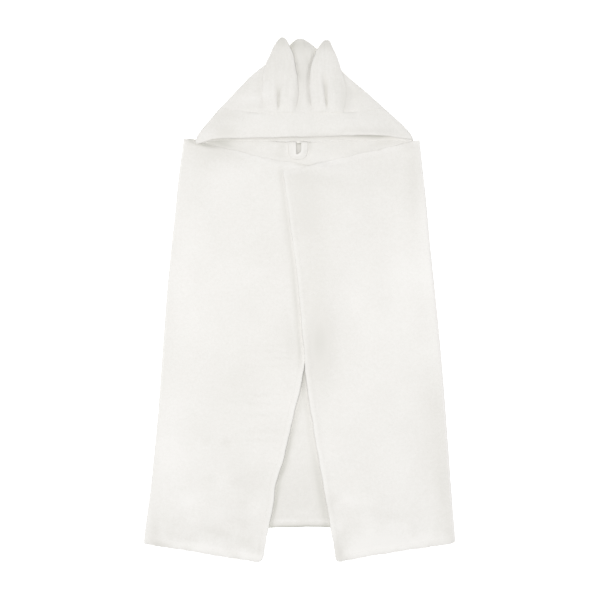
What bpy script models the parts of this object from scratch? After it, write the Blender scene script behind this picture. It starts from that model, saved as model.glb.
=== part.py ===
"""A child's hooded terry towel with two ears, its sides folded to the front, laid flat on its back.

Run with: blender --background --python part.py

Metres, +Z up. The towel lies on z = 0 with its hood towards +Y, and the origin is the middle of the
floor that it covers. Left and right are as seen from above. Every piece is a wall of cloth made from
sections: a section is a row of points across the piece, and a loft joins one section to the next.
"""

import math
from typing import NamedTuple

import bmesh
import bpy

# Cloth
CLOTH = 0.003  # terry, loops and all
GAP = 0.0003  # between pieces at a seam, and between layers that lie on each other
LAYER = CLOTH + GAP
BACK_Z = CLOTH / 2  # middle of the cloth that lies on the floor
FRONT_Z = BACK_Z + LAYER  # middle of the cloth that lies on it

# Towel: one rectangle, its sides folded in on two slanting lines
SHOULDER_Y = 0.2967
FOLD_END_Y = -0.4505
HEM_RISE = 0.028  # the back's hem is drawn up in the middle
NECK_DIP = 0.003  # the neck seam dips in the middle
NECK_DIP_REACH = 0.07
FOLD_RADIUS = 0.0042  # of the cloth's middle, halfway down a side fold
FOLD_RADIUS_END = 0.0024
FOLD_EASE = 0.055  # how far in the folded cloth takes to lie flat
CORNER = 0.010  # rounding of the hem's corners
FOLD_CORNER = 0.006  # and of the folds' lower ends
STEP_START = 0.030  # the upper front bridges this far past the lower front's edge
STEP_WIDTH = 0.045  # and comes down over this much more

# Hood
HOOD_LOFT = 0.009  # height of the hollow at the middle of the mouth
HOOD_LOFT_AT_PEAK = 0.35  # as a share of the loft at the mouth
HOOD_BASE_Y = SHOULDER_Y + GAP
BAND_SEAM_Y = 0.3478
BAND_SEAM_RISE = 0.0094  # at the hood's sides
BAND_THICKNESS = 0.005  # the band is doubled

# Ears
EAR_BASE_Y = BAND_SEAM_Y + 0.0012
EAR_CLEARANCE = 0.0007  # above the crown, whose flat faces cut across the dome
EAR_EDGE = 0.004  # two plies, pressed at the seam
EAR_BODY = 0.0095  # two plies, full of air
EAR_PLEAT = 0.0052  # depth of the pleat at the foot
EAR_PLEAT_WIDTH = 0.16  # as a share of the ear's half width
EAR_PLEAT_LENGTH = 0.052

# Hang loop
TAPE_WIDTH = 0.0125
TAPE_THICKNESS = 0.0022
LOOP_CENTRE_X = -0.0035
LOOP_RADIUS = 0.01175  # of the tape's middle
LOOP_LEG = 0.013
LOOP_TOP_Y = 0.2925
LOOP_LIFT = 0.0012  # the bend stands off the towel by this much

TERRY_WHITE = (0.89, 0.87, 0.83, 1.0)
TAPE_WHITE = (0.91, 0.90, 0.87, 1.0)


class SideFold(NamedTuple):
    """One side of the towel: its fold line, and the free edge of the front that it makes."""

    shoulder_x: float
    end_x: float
    neck_corner: tuple  # free edge, top
    hem_corner: tuple  # free edge, bottom
    bow: float  # how far the free edge bows along X
    belly: float  # how far the fold bows outwards
    belly_centre: float
    belly_reach: float


LEFT = SideFold(
    -0.2133, -0.2877, (0.0875, 0.2381), (-0.0735, -0.4889), 0.0, -0.0050, 0.24, 0.42
)
RIGHT = SideFold(
    0.2224, 0.2876, (-0.0315, 0.2386), (0.0664, -0.4866), -0.0085, 0.0046, 0.50, 0.50
)
BOW_CENTRE = 0.60
BOW_REACH = 0.38


class Row(NamedTuple):
    """Where the two side edges of a piece lie at one height."""

    y: float
    left: float
    right: float


class EdgePoint(NamedTuple):
    """A point on the hood's front edge."""

    x: float
    y: float


HOOD_OUTLINE = (
    Row(0.2935, -0.1935, 0.2120),
    Row(0.2970, -0.1935, 0.2103),
    Row(0.3088, -0.1872, 0.2028),
    Row(0.3236, -0.1752, 0.1893),
    Row(0.3534, -0.1498, 0.1572),
    Row(0.3832, -0.1207, 0.1250),
    Row(0.4129, -0.0930, 0.0894),
    Row(0.4278, -0.0757, 0.0746),
    Row(0.4501, -0.0473, 0.0500),
    Row(0.4680, -0.0230, 0.0312),
    Row(0.4752, -0.0172, 0.0224),
    Row(0.4810, -0.0115, 0.0130),
    Row(0.4846, -0.0050, 0.0070),
)

HOOD_FRONT_EDGE = (
    EdgePoint(-0.1935, 0.2940),
    EdgePoint(-0.1747, 0.2958),
    EdgePoint(-0.1628, 0.3008),
    EdgePoint(-0.1274, 0.3032),
    EdgePoint(0.0000, 0.3045),
    EdgePoint(0.0880, 0.3054),
    EdgePoint(0.1776, 0.3028),
    EdgePoint(0.2103, 0.2978),
)

EAR_LEFT = (
    Row(EAR_BASE_Y, -0.0669, -0.0083),
    Row(0.3590, -0.0687, -0.0064),
    Row(0.3794, -0.0711, -0.0027),
    Row(0.3980, -0.0700, -0.0036),
    Row(0.4185, -0.0691, -0.0059),
    Row(0.4390, -0.0622, -0.0092),
    Row(0.4594, -0.0529, -0.0145),
    Row(0.4724, -0.0464, -0.0204),
    Row(0.4817, -0.0403, -0.0261),
    Row(0.4873, -0.0352, -0.0291),
)

EAR_RIGHT = (
    Row(EAR_BASE_Y, 0.0233, 0.0801),
    Row(0.3590, 0.0206, 0.0829),
    Row(0.3794, 0.0183, 0.0866),
    Row(0.3980, 0.0168, 0.0847),
    Row(0.4185, 0.0178, 0.0790),
    Row(0.4390, 0.0224, 0.0718),
    Row(0.4594, 0.0287, 0.0626),
    Row(0.4706, 0.0360, 0.0574),
    Row(0.4780, 0.0416, 0.0543),
    Row(0.4822, 0.0453, 0.0519),
)


# ---- Small sums ----


def mix(a, b, t):
    """The value that lies the share t of the way from a to b."""
    return a + (b - a) * t


def mix_point(a, b, t):
    """The point that lies the share t of the way from a to b, in plan."""
    return (mix(a[0], b[0], t), mix(a[1], b[1], t))


def ease(t):
    """0 to 1 with level ends, held outside them."""
    t = min(max(t, 0.0), 1.0)
    return t * t * (3.0 - 2.0 * t)


def bump(t):
    """1 at 0, falling smoothly to 0 at -1 and 1."""
    return 0.5 + 0.5 * math.cos(math.pi * min(abs(t), 1.0))


def spread(start, end, count):
    """count + 1 evenly spaced values from start to end."""
    return [mix(start, end, i / count) for i in range(count + 1)]


def between(table, value):
    """The row of a table at a value of its first column, in straight steps."""
    for low, high in zip(table, table[1:]):
        if value <= high[0]:
            break
    share = min(max((value - low[0]) / (high[0] - low[0]), 0.0), 1.0)
    return type(low)(*(mix(a, b, share) for a, b in zip(low, high)))


# ---- Making solids ----


def terry_material(name, colour):
    """A rough, pale cloth."""
    material = bpy.data.materials.new(name)
    material.use_nodes = True
    shader = material.node_tree.nodes["Principled BSDF"]
    shader.inputs["Base Color"].default_value = colour
    shader.inputs["Roughness"].default_value = 0.95
    shader.inputs["Metallic"].default_value = 0.0
    material.diffuse_color = colour
    return material


def loft(name, sections, collection, material):
    """An open surface through the sections, which all have the same number of points."""
    mesh = bmesh.new()
    rows = [[mesh.verts.new(point) for point in section] for section in sections]
    for row, following in zip(rows, rows[1:]):
        for i in range(len(row) - 1):
            mesh.faces.new((row[i], row[i + 1], following[i + 1], following[i]))
    data = bpy.data.meshes.new(name)
    mesh.to_mesh(data)
    mesh.free()
    data.materials.append(material)
    piece = bpy.data.objects.new(name, data)
    collection.objects.link(piece)
    return piece


def give_wall(piece, thickness, offset=0.0, group=""):
    """Thickens a surface: offset 0 grows it both ways, and 1 along its normals only."""
    wall = piece.modifiers.new("wall", "SOLIDIFY")
    wall.thickness = thickness
    wall.offset = offset
    wall.use_rim = True
    wall.use_quality_normals = True
    wall.vertex_group = group
    piece.data.shade_smooth()
    piece.data.set_sharp_from_angle(angle=math.radians(40.0))


# ---- Towel ----


def fold_point(side, v):
    """A point of the fold's outer edge; v runs from 0 at the shoulder to 1 at the hem."""
    x = mix(side.shoulder_x, side.end_x, v)
    y = mix(SHOULDER_Y, FOLD_END_Y, v)
    near_hem = min(1.0, max(0.0, 1.0 - (y - FOLD_END_Y) / FOLD_CORNER))
    inset = FOLD_CORNER * (1.0 - math.sqrt(1.0 - near_hem**2)) * 0.6
    belly = side.belly * bump((v - side.belly_centre) / side.belly_reach)
    return (x + belly - math.copysign(inset, x), y)


def fold_radius(v):
    """The fold is full halfway down and pressed flatter at its ends."""
    return mix(FOLD_RADIUS_END, FOLD_RADIUS, math.sin(math.pi * v) ** 0.5)


def fold_inward(side):
    """Unit vector in plan from the fold line into the towel, square to it."""
    run = (side.end_x - side.shoulder_x, FOLD_END_Y - SHOULDER_Y)
    length = math.hypot(*run)
    turn = 1.0 if side.shoulder_x < 0.0 else -1.0
    return (-run[1] / length * turn, run[0] / length * turn)


def roll_centre(side, v):
    """Where the rolled cloth of the fold meets the flat cloth, in plan."""
    x, y = fold_point(side, v)
    inward = fold_inward(side)
    reach = fold_radius(v) + CLOTH / 2
    return (x + inward[0] * reach, y + inward[1] * reach)


def free_edge(side, v):
    """A point of a front's free edge."""
    x, y = mix_point(side.neck_corner, side.hem_corner, v)
    return (x + side.bow * bump((v - BOW_CENTRE) / BOW_REACH), y)


def outside_left_front(x, y):
    """How far a point lies past the left front's free edge or its neck edge; 0 or less inside."""
    past = []
    for start, end in (
        (LEFT.hem_corner, LEFT.neck_corner),
        (LEFT.neck_corner, (LEFT.shoulder_x, SHOULDER_Y)),
    ):
        run = (end[0] - start[0], end[1] - start[1])
        cross = (x - start[0]) * run[1] - (y - start[1]) * run[0]
        past.append(cross / math.hypot(*run))
    return max(past)


def front_height(side, x, y, from_fold, v):
    """Height of the middle of a front's cloth."""
    top_of_fold = BACK_Z + 2.0 * fold_radius(v)
    height = FRONT_Z
    if side is RIGHT:
        height += LAYER * (1.0 - ease((outside_left_front(x, y) - STEP_START) / STEP_WIDTH))
    return mix(max(top_of_fold, height), height, ease(from_fold / FOLD_EASE))


def front_section(side, v, columns):
    """A front's points from its free edge to its fold, both ends rounded off at the hem."""
    start = roll_centre(side, v)
    end = free_edge(side, v)
    length = math.dist(start, end)
    points = []
    for w in columns:
        x, y = mix_point(end, start, w)
        points.append((x, y, front_height(side, x, y, length * (1.0 - w), v)))
    return points


def round_hem_corner(section, side, v):
    """Draws the corner between a front's free edge and its hem in to a quarter circle."""
    edge_length = math.dist(side.neck_corner, side.hem_corner)
    down = 1.0 - (1.0 - v) * edge_length / CORNER
    if down <= 0.0:
        return section
    x, y, z = section[0]
    across = (section[1][0] - x, section[1][1] - y)
    reach = CORNER / math.hypot(*across)
    drawn = 1.0 - 1.0 / math.hypot(1.0, down)
    up = (side.neck_corner[0] - side.hem_corner[0], side.neck_corner[1] - side.hem_corner[1])
    lift = CORNER * down / edge_length
    moved = (
        x + (across[0] * reach + up[0] * lift) * drawn,
        y + (across[1] * reach + up[1] * lift) * drawn,
        z,
    )
    return [moved] + section[1:]


def fold_section(side, v, count):
    """The rolled cloth of a fold, from the front down to the back, ends left out."""
    x, y = roll_centre(side, v)
    inward = fold_inward(side)
    radius = fold_radius(v)
    points = []
    for i in range(1, count):
        angle = math.pi * (0.5 - i / count)
        out = radius * math.cos(angle)
        z = BACK_Z + radius * (1.0 + math.sin(angle))
        points.append((x - inward[0] * out, y - inward[1] * out, z))
    return points


def neck_y(x):
    """The towel's top edge along the neck seam."""
    return SHOULDER_Y - NECK_DIP * bump(x / NECK_DIP_REACH)


def back_section(v, columns):
    """The back's points from the right fold to the left one."""
    right, left = roll_centre(RIGHT, v), roll_centre(LEFT, v)
    points = []
    for w in columns:
        x, y = mix_point(right, left, w)
        middle = 1.0 - (2.0 * w - 1.0) ** 2
        neck = (neck_y(x) - SHOULDER_Y) * (1.0 - v)
        points.append((x, y + HEM_RISE * middle * v**2 + neck, BACK_Z))
    return points


def towel_sections():
    """Sections across the whole folded towel, from the neck to the hem."""
    edge = CORNER / 0.25  # the first column is a corner's rounding in from the free edge
    front_columns = [0.0] + spread(edge, 0.78, 9) + [0.84, 0.90, 0.95, 1.0]
    back_columns = spread(0.0, 1.0, 12)
    length = math.dist(LEFT.neck_corner, LEFT.hem_corner)
    ends = CORNER / length
    rows = [0.0] + spread(0.02, 0.965, 19) + [1.0 - ends, 1.0 - 0.35 * ends, 1.0]
    sections = []
    for v in rows:
        right = round_hem_corner(front_section(RIGHT, v, front_columns), RIGHT, v)
        left = round_hem_corner(front_section(LEFT, v, front_columns), LEFT, v)
        across = right + fold_section(RIGHT, v, 6) + back_section(v, back_columns)
        across += fold_section(LEFT, v, 6)[::-1] + left[::-1]
        sections.append(across)
    return sections


def build_towel(collection, terry):
    """The towel, one piece of cloth round both folds."""
    towel = loft("towel_body", towel_sections(), collection, terry)
    give_wall(towel, CLOTH)
    return towel


# ---- Hood ----


def hood_height(x, y):
    """Height of the middle of the hood's front layer, which stands off the back as a low dome."""
    row = between(HOOD_OUTLINE, y)
    half_width = (row.right - row.left) / 2.0
    across = min(abs(x - (row.left + row.right) / 2.0) / half_width, 1.0)
    along = (y - HOOD_BASE_Y) / (HOOD_OUTLINE[-1].y - HOOD_BASE_Y)
    loft_here = HOOD_LOFT * mix(1.0, HOOD_LOFT_AT_PEAK, min(max(along, 0.0), 1.0))
    return FRONT_Z + loft_here * (1.0 - across**3)


def seam_y(across):
    """The band's seam; across runs from -1 to 1 between the hood's sides."""
    return BAND_SEAM_Y + BAND_SEAM_RISE * across**4


def build_hood_back(collection, terry):
    """The hood's back layer, sewn to the towel's top edge."""
    columns = spread(0.0, 1.0, 10)
    sections = []
    heights = [HOOD_BASE_Y] + [row.y for row in HOOD_OUTLINE[2:]]
    for number, y in enumerate(heights):
        row = between(HOOD_OUTLINE, y)
        section = []
        for w in columns:
            x = mix(row.left, row.right, w)
            dip = neck_y(x) - SHOULDER_Y if number == 0 else 0.0
            section.append((x, y + dip, BACK_Z))
        sections.append(section)
    back = loft("hood_back", sections, collection, terry)
    give_wall(back, CLOTH)
    return back


def build_hood_crown(collection, terry):
    """The hood's front layer, from the band's seam to the peak."""
    start = BAND_SEAM_Y + BAND_SEAM_RISE + GAP
    end = HOOD_OUTLINE[-1].y
    heights = [start] + [mix(start, end, i / 9) for i in range(1, 9)] + [0.4820, end]
    sections = []
    for y_side in heights:
        row = between(HOOD_OUTLINE, y_side)
        remaining = (end - y_side) / (end - start)
        section = []
        for w in spread(0.0, 1.0, 18):
            across = 2.0 * w - 1.0
            x = mix(row.left, row.right, w)
            y = y_side - BAND_SEAM_RISE * remaining**2 * (1.0 - across**4)
            section.append((x, y, hood_height(x, y)))
        sections.append(section)
    crown = loft("hood_crown", sections, collection, terry)
    give_wall(crown, CLOTH)
    return crown


def build_hood_band(collection, terry):
    """The doubled band along the face opening."""
    lowest_left, lowest_right = HOOD_FRONT_EDGE[0], HOOD_FRONT_EDGE[-1]
    seam_side = BAND_SEAM_Y + BAND_SEAM_RISE
    sections = []
    for t in spread(0.0, 1.0, 4):
        left = between(HOOD_OUTLINE, mix(lowest_left.y, seam_side, t)).left
        right = between(HOOD_OUTLINE, mix(lowest_right.y, seam_side, t)).right
        section = []
        for w in spread(0.0, 1.0, 26):
            edge_x = mix(lowest_left.x, lowest_right.x, w)
            low = between(HOOD_FRONT_EDGE, edge_x).y
            x = mix(left, right, w)
            y = mix(low, seam_y(2.0 * w - 1.0), t)
            section.append((x, y, hood_height(x, y) + (BAND_THICKNESS - CLOTH) / 2.0))
        sections.append(section)
    band = loft("hood_band", sections, collection, terry)
    give_wall(band, BAND_THICKNESS)
    return band


# ---- Ears ----


def ear_thickness(across, from_base, share_up):
    """Thickness of an ear; across runs from -1 to 1 between its edges."""
    full = EAR_EDGE + (EAR_BODY - EAR_EDGE) * math.sqrt(1.0 - across**2)
    pleat = EAR_PLEAT * bump(across / EAR_PLEAT_WIDTH) * (1.0 - ease(from_base / EAR_PLEAT_LENGTH))
    return mix(full, EAR_EDGE, ease(share_up) * 0.6) - pleat


def build_ear(name, table, collection, terry):
    """An ear: two plies sewn round and turned, pleated at the foot and laid on the crown."""
    columns = [-1.0, -0.8, -0.5, -0.2, -0.08, 0.0, 0.08, 0.2, 0.5, 0.8, 1.0]
    base, tip = table[0].y, table[-1].y
    heights = spread(base, table[-3].y, 12) + [table[-2].y, tip]
    sections, weights = [], []
    for y in heights:
        row = between(table, y)
        section = []
        for across in columns:
            x = mix(row.left, row.right, (across + 1.0) / 2.0)
            section.append((x, y, hood_height(x, y) + CLOTH / 2.0 + EAR_CLEARANCE))
            thickness = ear_thickness(across, y - base, (y - base) / (tip - base))
            weights.append(thickness / EAR_BODY)
        sections.append(section)
    ear = loft(name, sections, collection, terry)
    group = ear.vertex_groups.new(name="thickness")
    for index, weight in enumerate(weights):
        group.add([index], weight, "REPLACE")
    give_wall(ear, EAR_BODY, offset=1.0, group=group.name)
    return ear


# ---- Hang loop ----


def build_hang_loop(collection, tape):
    """A loop of tape that lies on the back below the neck seam, its ends at the seam."""
    path = [(-LOOP_RADIUS, LOOP_TOP_Y), (-LOOP_RADIUS, LOOP_TOP_Y - LOOP_LEG / 2.0)]
    bend = 8
    for i in range(bend + 1):
        angle = math.pi * (1.0 + i / bend)
        x = LOOP_RADIUS * math.cos(angle)
        path.append((x, LOOP_TOP_Y - LOOP_LEG + LOOP_RADIUS * math.sin(angle)))
    path += [(-x, y) for x, y in path[1::-1]]
    rest = BACK_Z + CLOTH / 2.0 + GAP + TAPE_THICKNESS / 2.0
    sections = []
    for i, (x, y) in enumerate(path):
        before, after = path[max(i - 1, 0)], path[min(i + 1, len(path) - 1)]
        run = (after[0] - before[0], after[1] - before[1])
        length = math.hypot(*run)
        side = (run[1] / length, -run[0] / length)
        z = rest + LOOP_LIFT * ease((LOOP_TOP_Y - y) / LOOP_LEG)
        section = []
        for half in (-TAPE_WIDTH / 2.0, TAPE_WIDTH / 2.0):
            section.append((LOOP_CENTRE_X + x + side[0] * half, y + side[1] * half, z))
        sections.append(section)
    loop = loft("hang_loop", sections, collection, tape)
    give_wall(loop, TAPE_THICKNESS)
    return loop


def main():
    """Builds every piece into one collection."""
    for old in list(bpy.data.objects):
        bpy.data.objects.remove(old, do_unlink=True)
    collection = bpy.data.collections.new("hooded_towel")
    bpy.context.scene.collection.children.link(collection)
    terry = terry_material("white_terry", TERRY_WHITE)
    tape = terry_material("white_tape", TAPE_WHITE)
    build_towel(collection, terry)
    build_hood_back(collection, terry)
    build_hood_crown(collection, terry)
    build_hood_band(collection, terry)
    build_ear("ear_left", EAR_LEFT, collection, terry)
    build_ear("ear_right", EAR_RIGHT, collection, terry)
    build_hang_loop(collection, tape)


main()
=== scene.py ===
"""Looks of a child's hooded terry towel with two ears, its sides folded to the front, laid flat.

The cloth is made as a tailor lays it out: each piece starts as a flat grid, which is folded or laid
into place, given its wall and hems, and finished in terry. Lengths are in metres where nothing else is
said, +Z is up, and the hood points along +Y. Left and right are as seen from above. Each piece carries
a value that paints light and shade into its colour: above 0 it looks lighter, and below 0 darker.
"""

import logging
import math
from collections.abc import Callable
from dataclasses import dataclass, field, fields
from enum import Enum

import bpy
import numpy as np
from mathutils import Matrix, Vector

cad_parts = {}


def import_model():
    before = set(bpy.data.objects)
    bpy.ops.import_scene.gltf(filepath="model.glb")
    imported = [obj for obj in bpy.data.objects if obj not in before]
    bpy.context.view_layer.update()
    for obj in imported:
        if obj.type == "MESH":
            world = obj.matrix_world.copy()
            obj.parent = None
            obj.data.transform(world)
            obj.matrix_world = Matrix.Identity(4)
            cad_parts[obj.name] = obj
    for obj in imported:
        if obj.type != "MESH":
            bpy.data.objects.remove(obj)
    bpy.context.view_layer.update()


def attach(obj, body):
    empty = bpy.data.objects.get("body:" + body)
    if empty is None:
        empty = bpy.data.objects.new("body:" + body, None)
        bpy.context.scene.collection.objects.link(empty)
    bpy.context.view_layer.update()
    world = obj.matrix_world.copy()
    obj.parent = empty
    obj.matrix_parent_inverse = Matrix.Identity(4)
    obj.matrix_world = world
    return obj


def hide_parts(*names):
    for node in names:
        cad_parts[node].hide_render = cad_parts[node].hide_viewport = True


LOG = logging.getLogger("hooded_towel")
BODY = "root"
Values = np.ndarray | float  # one value, or one for each point of a grid
Colour = tuple[float, float, float, float]

CLOTH = 0.003  # terry, loops and all
GAP = 0.0003  # between layers that lie on each other
LAYER = CLOTH + GAP
BACK_Z = CLOTH / 2.0
FRONT_Z = BACK_Z + LAYER


# ---- Small sums on arrays ----


def mix(a: Values, b: Values, t: Values) -> Values:
    """The value the share t of the way from a to b."""
    return a + (b - a) * t


def ease(t: Values) -> Values:
    """Rises smoothly from 0 at 0 to 1 at 1, and is level outside them."""
    t = np.clip(t, 0.0, 1.0)
    return t * t * (3.0 - 2.0 * t)


def fade(t: Values) -> Values:
    """Falls smoothly from 1 at 0 to 0 at 1, and is level outside them."""
    return 1.0 - ease(t)


def bump(t: Values) -> Values:
    """1 at 0, falling smoothly to 0 at -1 and 1."""
    return 0.5 + 0.5 * np.cos(np.pi * np.minimum(np.abs(t), 1.0))


def bell(t: Values) -> Values:
    """1 at 0, dying away to both sides."""
    return np.exp(-(t * t))


def rounded(distance: Values, radius: float, least: float = 0.3) -> Values:
    """Share of a wall's thickness near its edge, for an edge rounded to a radius."""
    inside = np.clip(distance / radius, 0.0, 1.0)
    return np.maximum(least, np.sqrt(1.0 - (1.0 - inside) ** 2))


def edge_steps(first: tuple[float, ...], length: float, step: float, both: bool = True) -> np.ndarray:
    """Shares of a length at which rows or columns of a grid lie, close together at its ends.

    Args:
        first: distances from an end of the first few.
        length: the whole length.
        step: spacing of the rest, about.
        both: whether the far end is as fine as the near one.

    Returns:
        Rising shares from 0 to 1.
    """
    near = np.array(first) / length
    far = 1.0 - near[::-1] if both else np.array([1.0])
    count = max(2, round((far[0] - near[-1]) * length / step))
    return np.concatenate([near[:-1], np.linspace(near[-1], far[0], count + 1), far[1:]])


# ---- Relief: heights of a cloth, or light and shade painted on it, given one by one or by seeded chance ----


@dataclass(frozen=True)
class Crest:
    """A soft rise across a line, or with a height below 0 a soft dip."""

    height: float
    centre: float
    reach: float

    def at(self, run: Values) -> Values:
        """Height at distances, or at shares of a length, along the line."""
        return self.height * bump((run - self.centre) / self.reach)


@dataclass(frozen=True)
class Onset:
    """An amount that comes in smoothly beyond a start, over a distance; backwards where that is below 0."""

    start: float
    over: float
    amount: float = 1.0

    def at(self, run: Values) -> Values:
        """The amount at each place."""
        return self.amount * ease((run - self.start) / self.over)


def between(onsets: tuple[Onset, Onset], run: Values) -> Values:
    """An amount that comes in at the first onset and is gone after the second."""
    return onsets[0].at(run) * (1.0 - onsets[1].at(run))


@dataclass(frozen=True)
class Swell:
    """A soft ridge, or with a height below 0 a soft trough."""

    x: float
    y: float
    across: float
    along: float
    turn: float
    height: float

    def at(self, x: np.ndarray, y: np.ndarray) -> np.ndarray:
        """Height that the swell adds at each place.

        Args:
            x: places across.
            y: places along.

        Returns:
            The heights.
        """
        angle = math.radians(self.turn)
        u = ((x - self.x) * math.cos(angle) + (y - self.y) * math.sin(angle)) / self.across
        v = ((y - self.y) * math.cos(angle) - (x - self.x) * math.sin(angle)) / self.along
        return self.height * bell(u) * bell(v)


@dataclass(frozen=True)
class ShadeSpot:
    """A small spot of painted shade beside a seam; slant tilts it, as a rise over a run."""

    x: float
    y: float
    across: float
    along: float
    depth: float
    slant: float = 0.0

    def at(self, x: np.ndarray, y: np.ndarray) -> np.ndarray:
        """Painted shade that the spot adds at each place."""
        tall = (y - self.y + self.slant * (x - self.x)) / self.along
        return -self.depth * bump((x - self.x) / self.across) * bump(tall)


@dataclass(frozen=True)
class Uneven:
    """Smooth random heights from -height to height."""

    height: float
    cell: float  # distance from one random value to the next
    seed: int

    def at(self, x: Values, y: Values = 0.0) -> Values:
        """Height at each place, which is the same on every run.

        Args:
            x: places across, or along a line.
            y: places along.

        Returns:
            The heights.
        """
        side = 512
        values = np.random.default_rng(self.seed).uniform(-1.0, 1.0, (side, side))
        column_at, row_at = x / self.cell + side / 2.0, y / self.cell + side / 2.0
        left, low = np.floor(column_at).astype(int) % side, np.floor(row_at).astype(int) % side
        right, high = (left + 1) % side, (low + 1) % side
        u, v = ease(column_at % 1.0), ease(row_at % 1.0)
        bottom = mix(values[low, left], values[low, right], u)
        top = mix(values[high, left], values[high, right], u)
        return self.height * mix(bottom, top, v)


@dataclass(frozen=True)
class Pucker:
    """The small dents that the stitching draws into a hem, from 0 to 1 deep."""

    seed: int
    depth: tuple[float, float] = (0.25, 1.0)
    reach: tuple[float, float] = (0.005, 0.009)
    spacing: tuple[float, float] = (0.013, 0.034)
    first: float = 0.01

    def at(self, run: np.ndarray) -> np.ndarray:
        """Depth at each place, which is the same on every run.

        Args:
            run: distances along the hem.

        Returns:
            The depths.
        """
        random = np.random.default_rng(self.seed)
        dents = np.zeros_like(run)
        place = float(run.min()) + self.first
        while place < run.max():
            deepest = random.uniform(*self.depth)
            dents = np.maximum(dents, deepest * bump((run - place) / random.uniform(*self.reach)))
            place += random.uniform(*self.spacing)
        return dents


Relief = tuple[Crest | Swell | ShadeSpot | Uneven, ...]


def relief(parts: Relief, *places: Values) -> Values:
    """Height that all the parts add together at each place."""
    return sum((part.at(*places) for part in parts), np.zeros_like(places[0]))


@dataclass(frozen=True)
class Table:
    """Values given at places along a line, read between them in straight steps."""

    columns: tuple[str, ...]
    rows: tuple[tuple[float, ...], ...]

    def column(self, name: str) -> np.ndarray:
        """One column's values."""
        return np.array([row[self.columns.index(name)] for row in self.rows])

    def ends(self, name: str) -> tuple[float, float]:
        """A column's first and last value."""
        return self.column(name)[0], self.column(name)[-1]

    def read(self, name: str, at: Values) -> Values:
        """A column's values at places along the first column."""
        return np.interp(at, self.column(self.columns[0]), self.column(name))


# ---- Cloth ----


@dataclass
class Cloth:
    """A piece of cloth as a grid: the middle of its wall, how thick the wall is, and the light and shade
    painted on it.
    """

    x: np.ndarray
    y: np.ndarray
    z: np.ndarray
    wall: np.ndarray
    mottle_and_light: np.ndarray

    def top(self) -> np.ndarray:
        """Height of the upper face."""
        return self.z + self.wall / 2.0

    def turned(self) -> "Cloth":
        """The same cloth with its columns counted from the other side."""
        return Cloth(*(getattr(self, part.name)[:, ::-1] for part in fields(self)))

    def joined(self, *others: "Cloth") -> "Cloth":
        """One cloth from this one and others beside it."""
        rows = ([getattr(cloth, part.name) for cloth in (self, *others)] for part in fields(self))
        return Cloth(*(np.concatenate(row, axis=1) for row in rows))

    def make(self, name: str) -> bpy.types.Object:
        """Lays a flat grid into these places and gives it its wall.

        Args:
            name: the new object's name.

        Returns:
            The cloth as one closed mesh.
        """
        rows, columns = self.z.shape
        bpy.ops.object.select_all(action="DESELECT")
        bpy.ops.mesh.primitive_grid_add(x_subdivisions=columns - 1, y_subdivisions=rows - 1, size=1.0)
        piece = bpy.context.object
        piece.name = piece.data.name = name
        places = np.stack([self.x, self.y, self.z], axis=-1).astype(np.float32)
        piece.data.vertices.foreach_set("co", places.ravel())
        mottle_and_light = piece.data.attributes.new("mottle_and_light", "FLOAT", "POINT")
        mottle_and_light.data.foreach_set("value", self.mottle_and_light.astype(np.float32).ravel())
        thickest = float(self.wall.max())
        self._weigh(piece, self.wall.ravel() / thickest)
        wall = piece.modifiers.new("wall", "SOLIDIFY")
        wall.thickness = thickest
        wall.offset = 0.0
        wall.use_quality_normals = True
        wall.vertex_group = "wall"
        bpy.ops.object.modifier_apply(modifier=wall.name)
        piece.vertex_groups.clear()
        bpy.ops.object.shade_smooth()
        return piece

    @staticmethod
    def _weigh(piece: bpy.types.Object, shares: np.ndarray) -> None:
        """Stores the wall's share of its greatest thickness in a vertex group.

        Args:
            piece: the flat grid.
            shares: one share for each of its vertices.
        """
        levels = 200
        group = piece.vertex_groups.new(name="wall")
        steps = np.round(shares * levels).astype(int)
        for level in np.unique(steps):
            group.add(np.flatnonzero(steps == level).tolist(), max(level, 1) / levels, "REPLACE")


@dataclass(frozen=True)
class Hem:
    """A hem turned twice and stitched down."""

    extra: float
    groove: float
    width: float = 0.012
    edge: float = 0.0030
    stitch: float = 0.0015

    def added(self, distance: np.ndarray) -> np.ndarray:
        """Thickness that the turnings add at distances from the edge, less the stitching's groove."""
        across = (distance - self.width + self.stitch) / (2.0 * self.stitch)
        return self.extra * fade(across) - self.groove * bump(across)


HEM = Hem(extra=0.0013, groove=0.0006)
NECK_HEM = Hem(extra=0.0003, groove=0.0003)
STITCH_LINE = 0.0105
HEM_STEPS = (0.0, 0.0001, 0.0005, 0.0012, 0.0026, 0.0050, 0.0085, STITCH_LINE, 0.0125, 0.0155)
SIDE_STEPS = (0.0, 0.0006, 0.0018, 0.004)


def dress(piece: bpy.types.Object, finish: bpy.types.Material, slot: str, *nodes: str) -> bpy.types.Object:
    """Gives a finished piece its material and its body, and hides the nodes that it stands for.

    Args:
        piece: the piece.
        finish: its material.
        slot: not used.
        nodes: the nodes that it stands for, if any.

    Returns:
        The piece.
    """
    piece.data.materials.clear()
    piece.data.materials.append(finish)
    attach(piece, BODY)
    if nodes:
        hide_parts(*nodes)
    return piece


# ---- Relief given one by one: folds and hollows of the cloth, and places where light and shade are painted on it ----


class Panel(Enum):
    """The panels of cloth that have a relief of their own."""

    LEFT = "left front"
    RIGHT = "right front"
    ROLL = "roll of a side fold"
    BACK = "back"
    CROWN = "crown"
    BAND = "band"
    EAR = "ear"


def swells(*rows: tuple[float, ...]) -> Relief:
    """Swells from rows of x, y, reach across and reach along in millimetres, turn in degrees and height."""
    return tuple(Swell(*(length / 1000.0 for length in row[:4]), *row[4:]) for row in rows)


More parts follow.
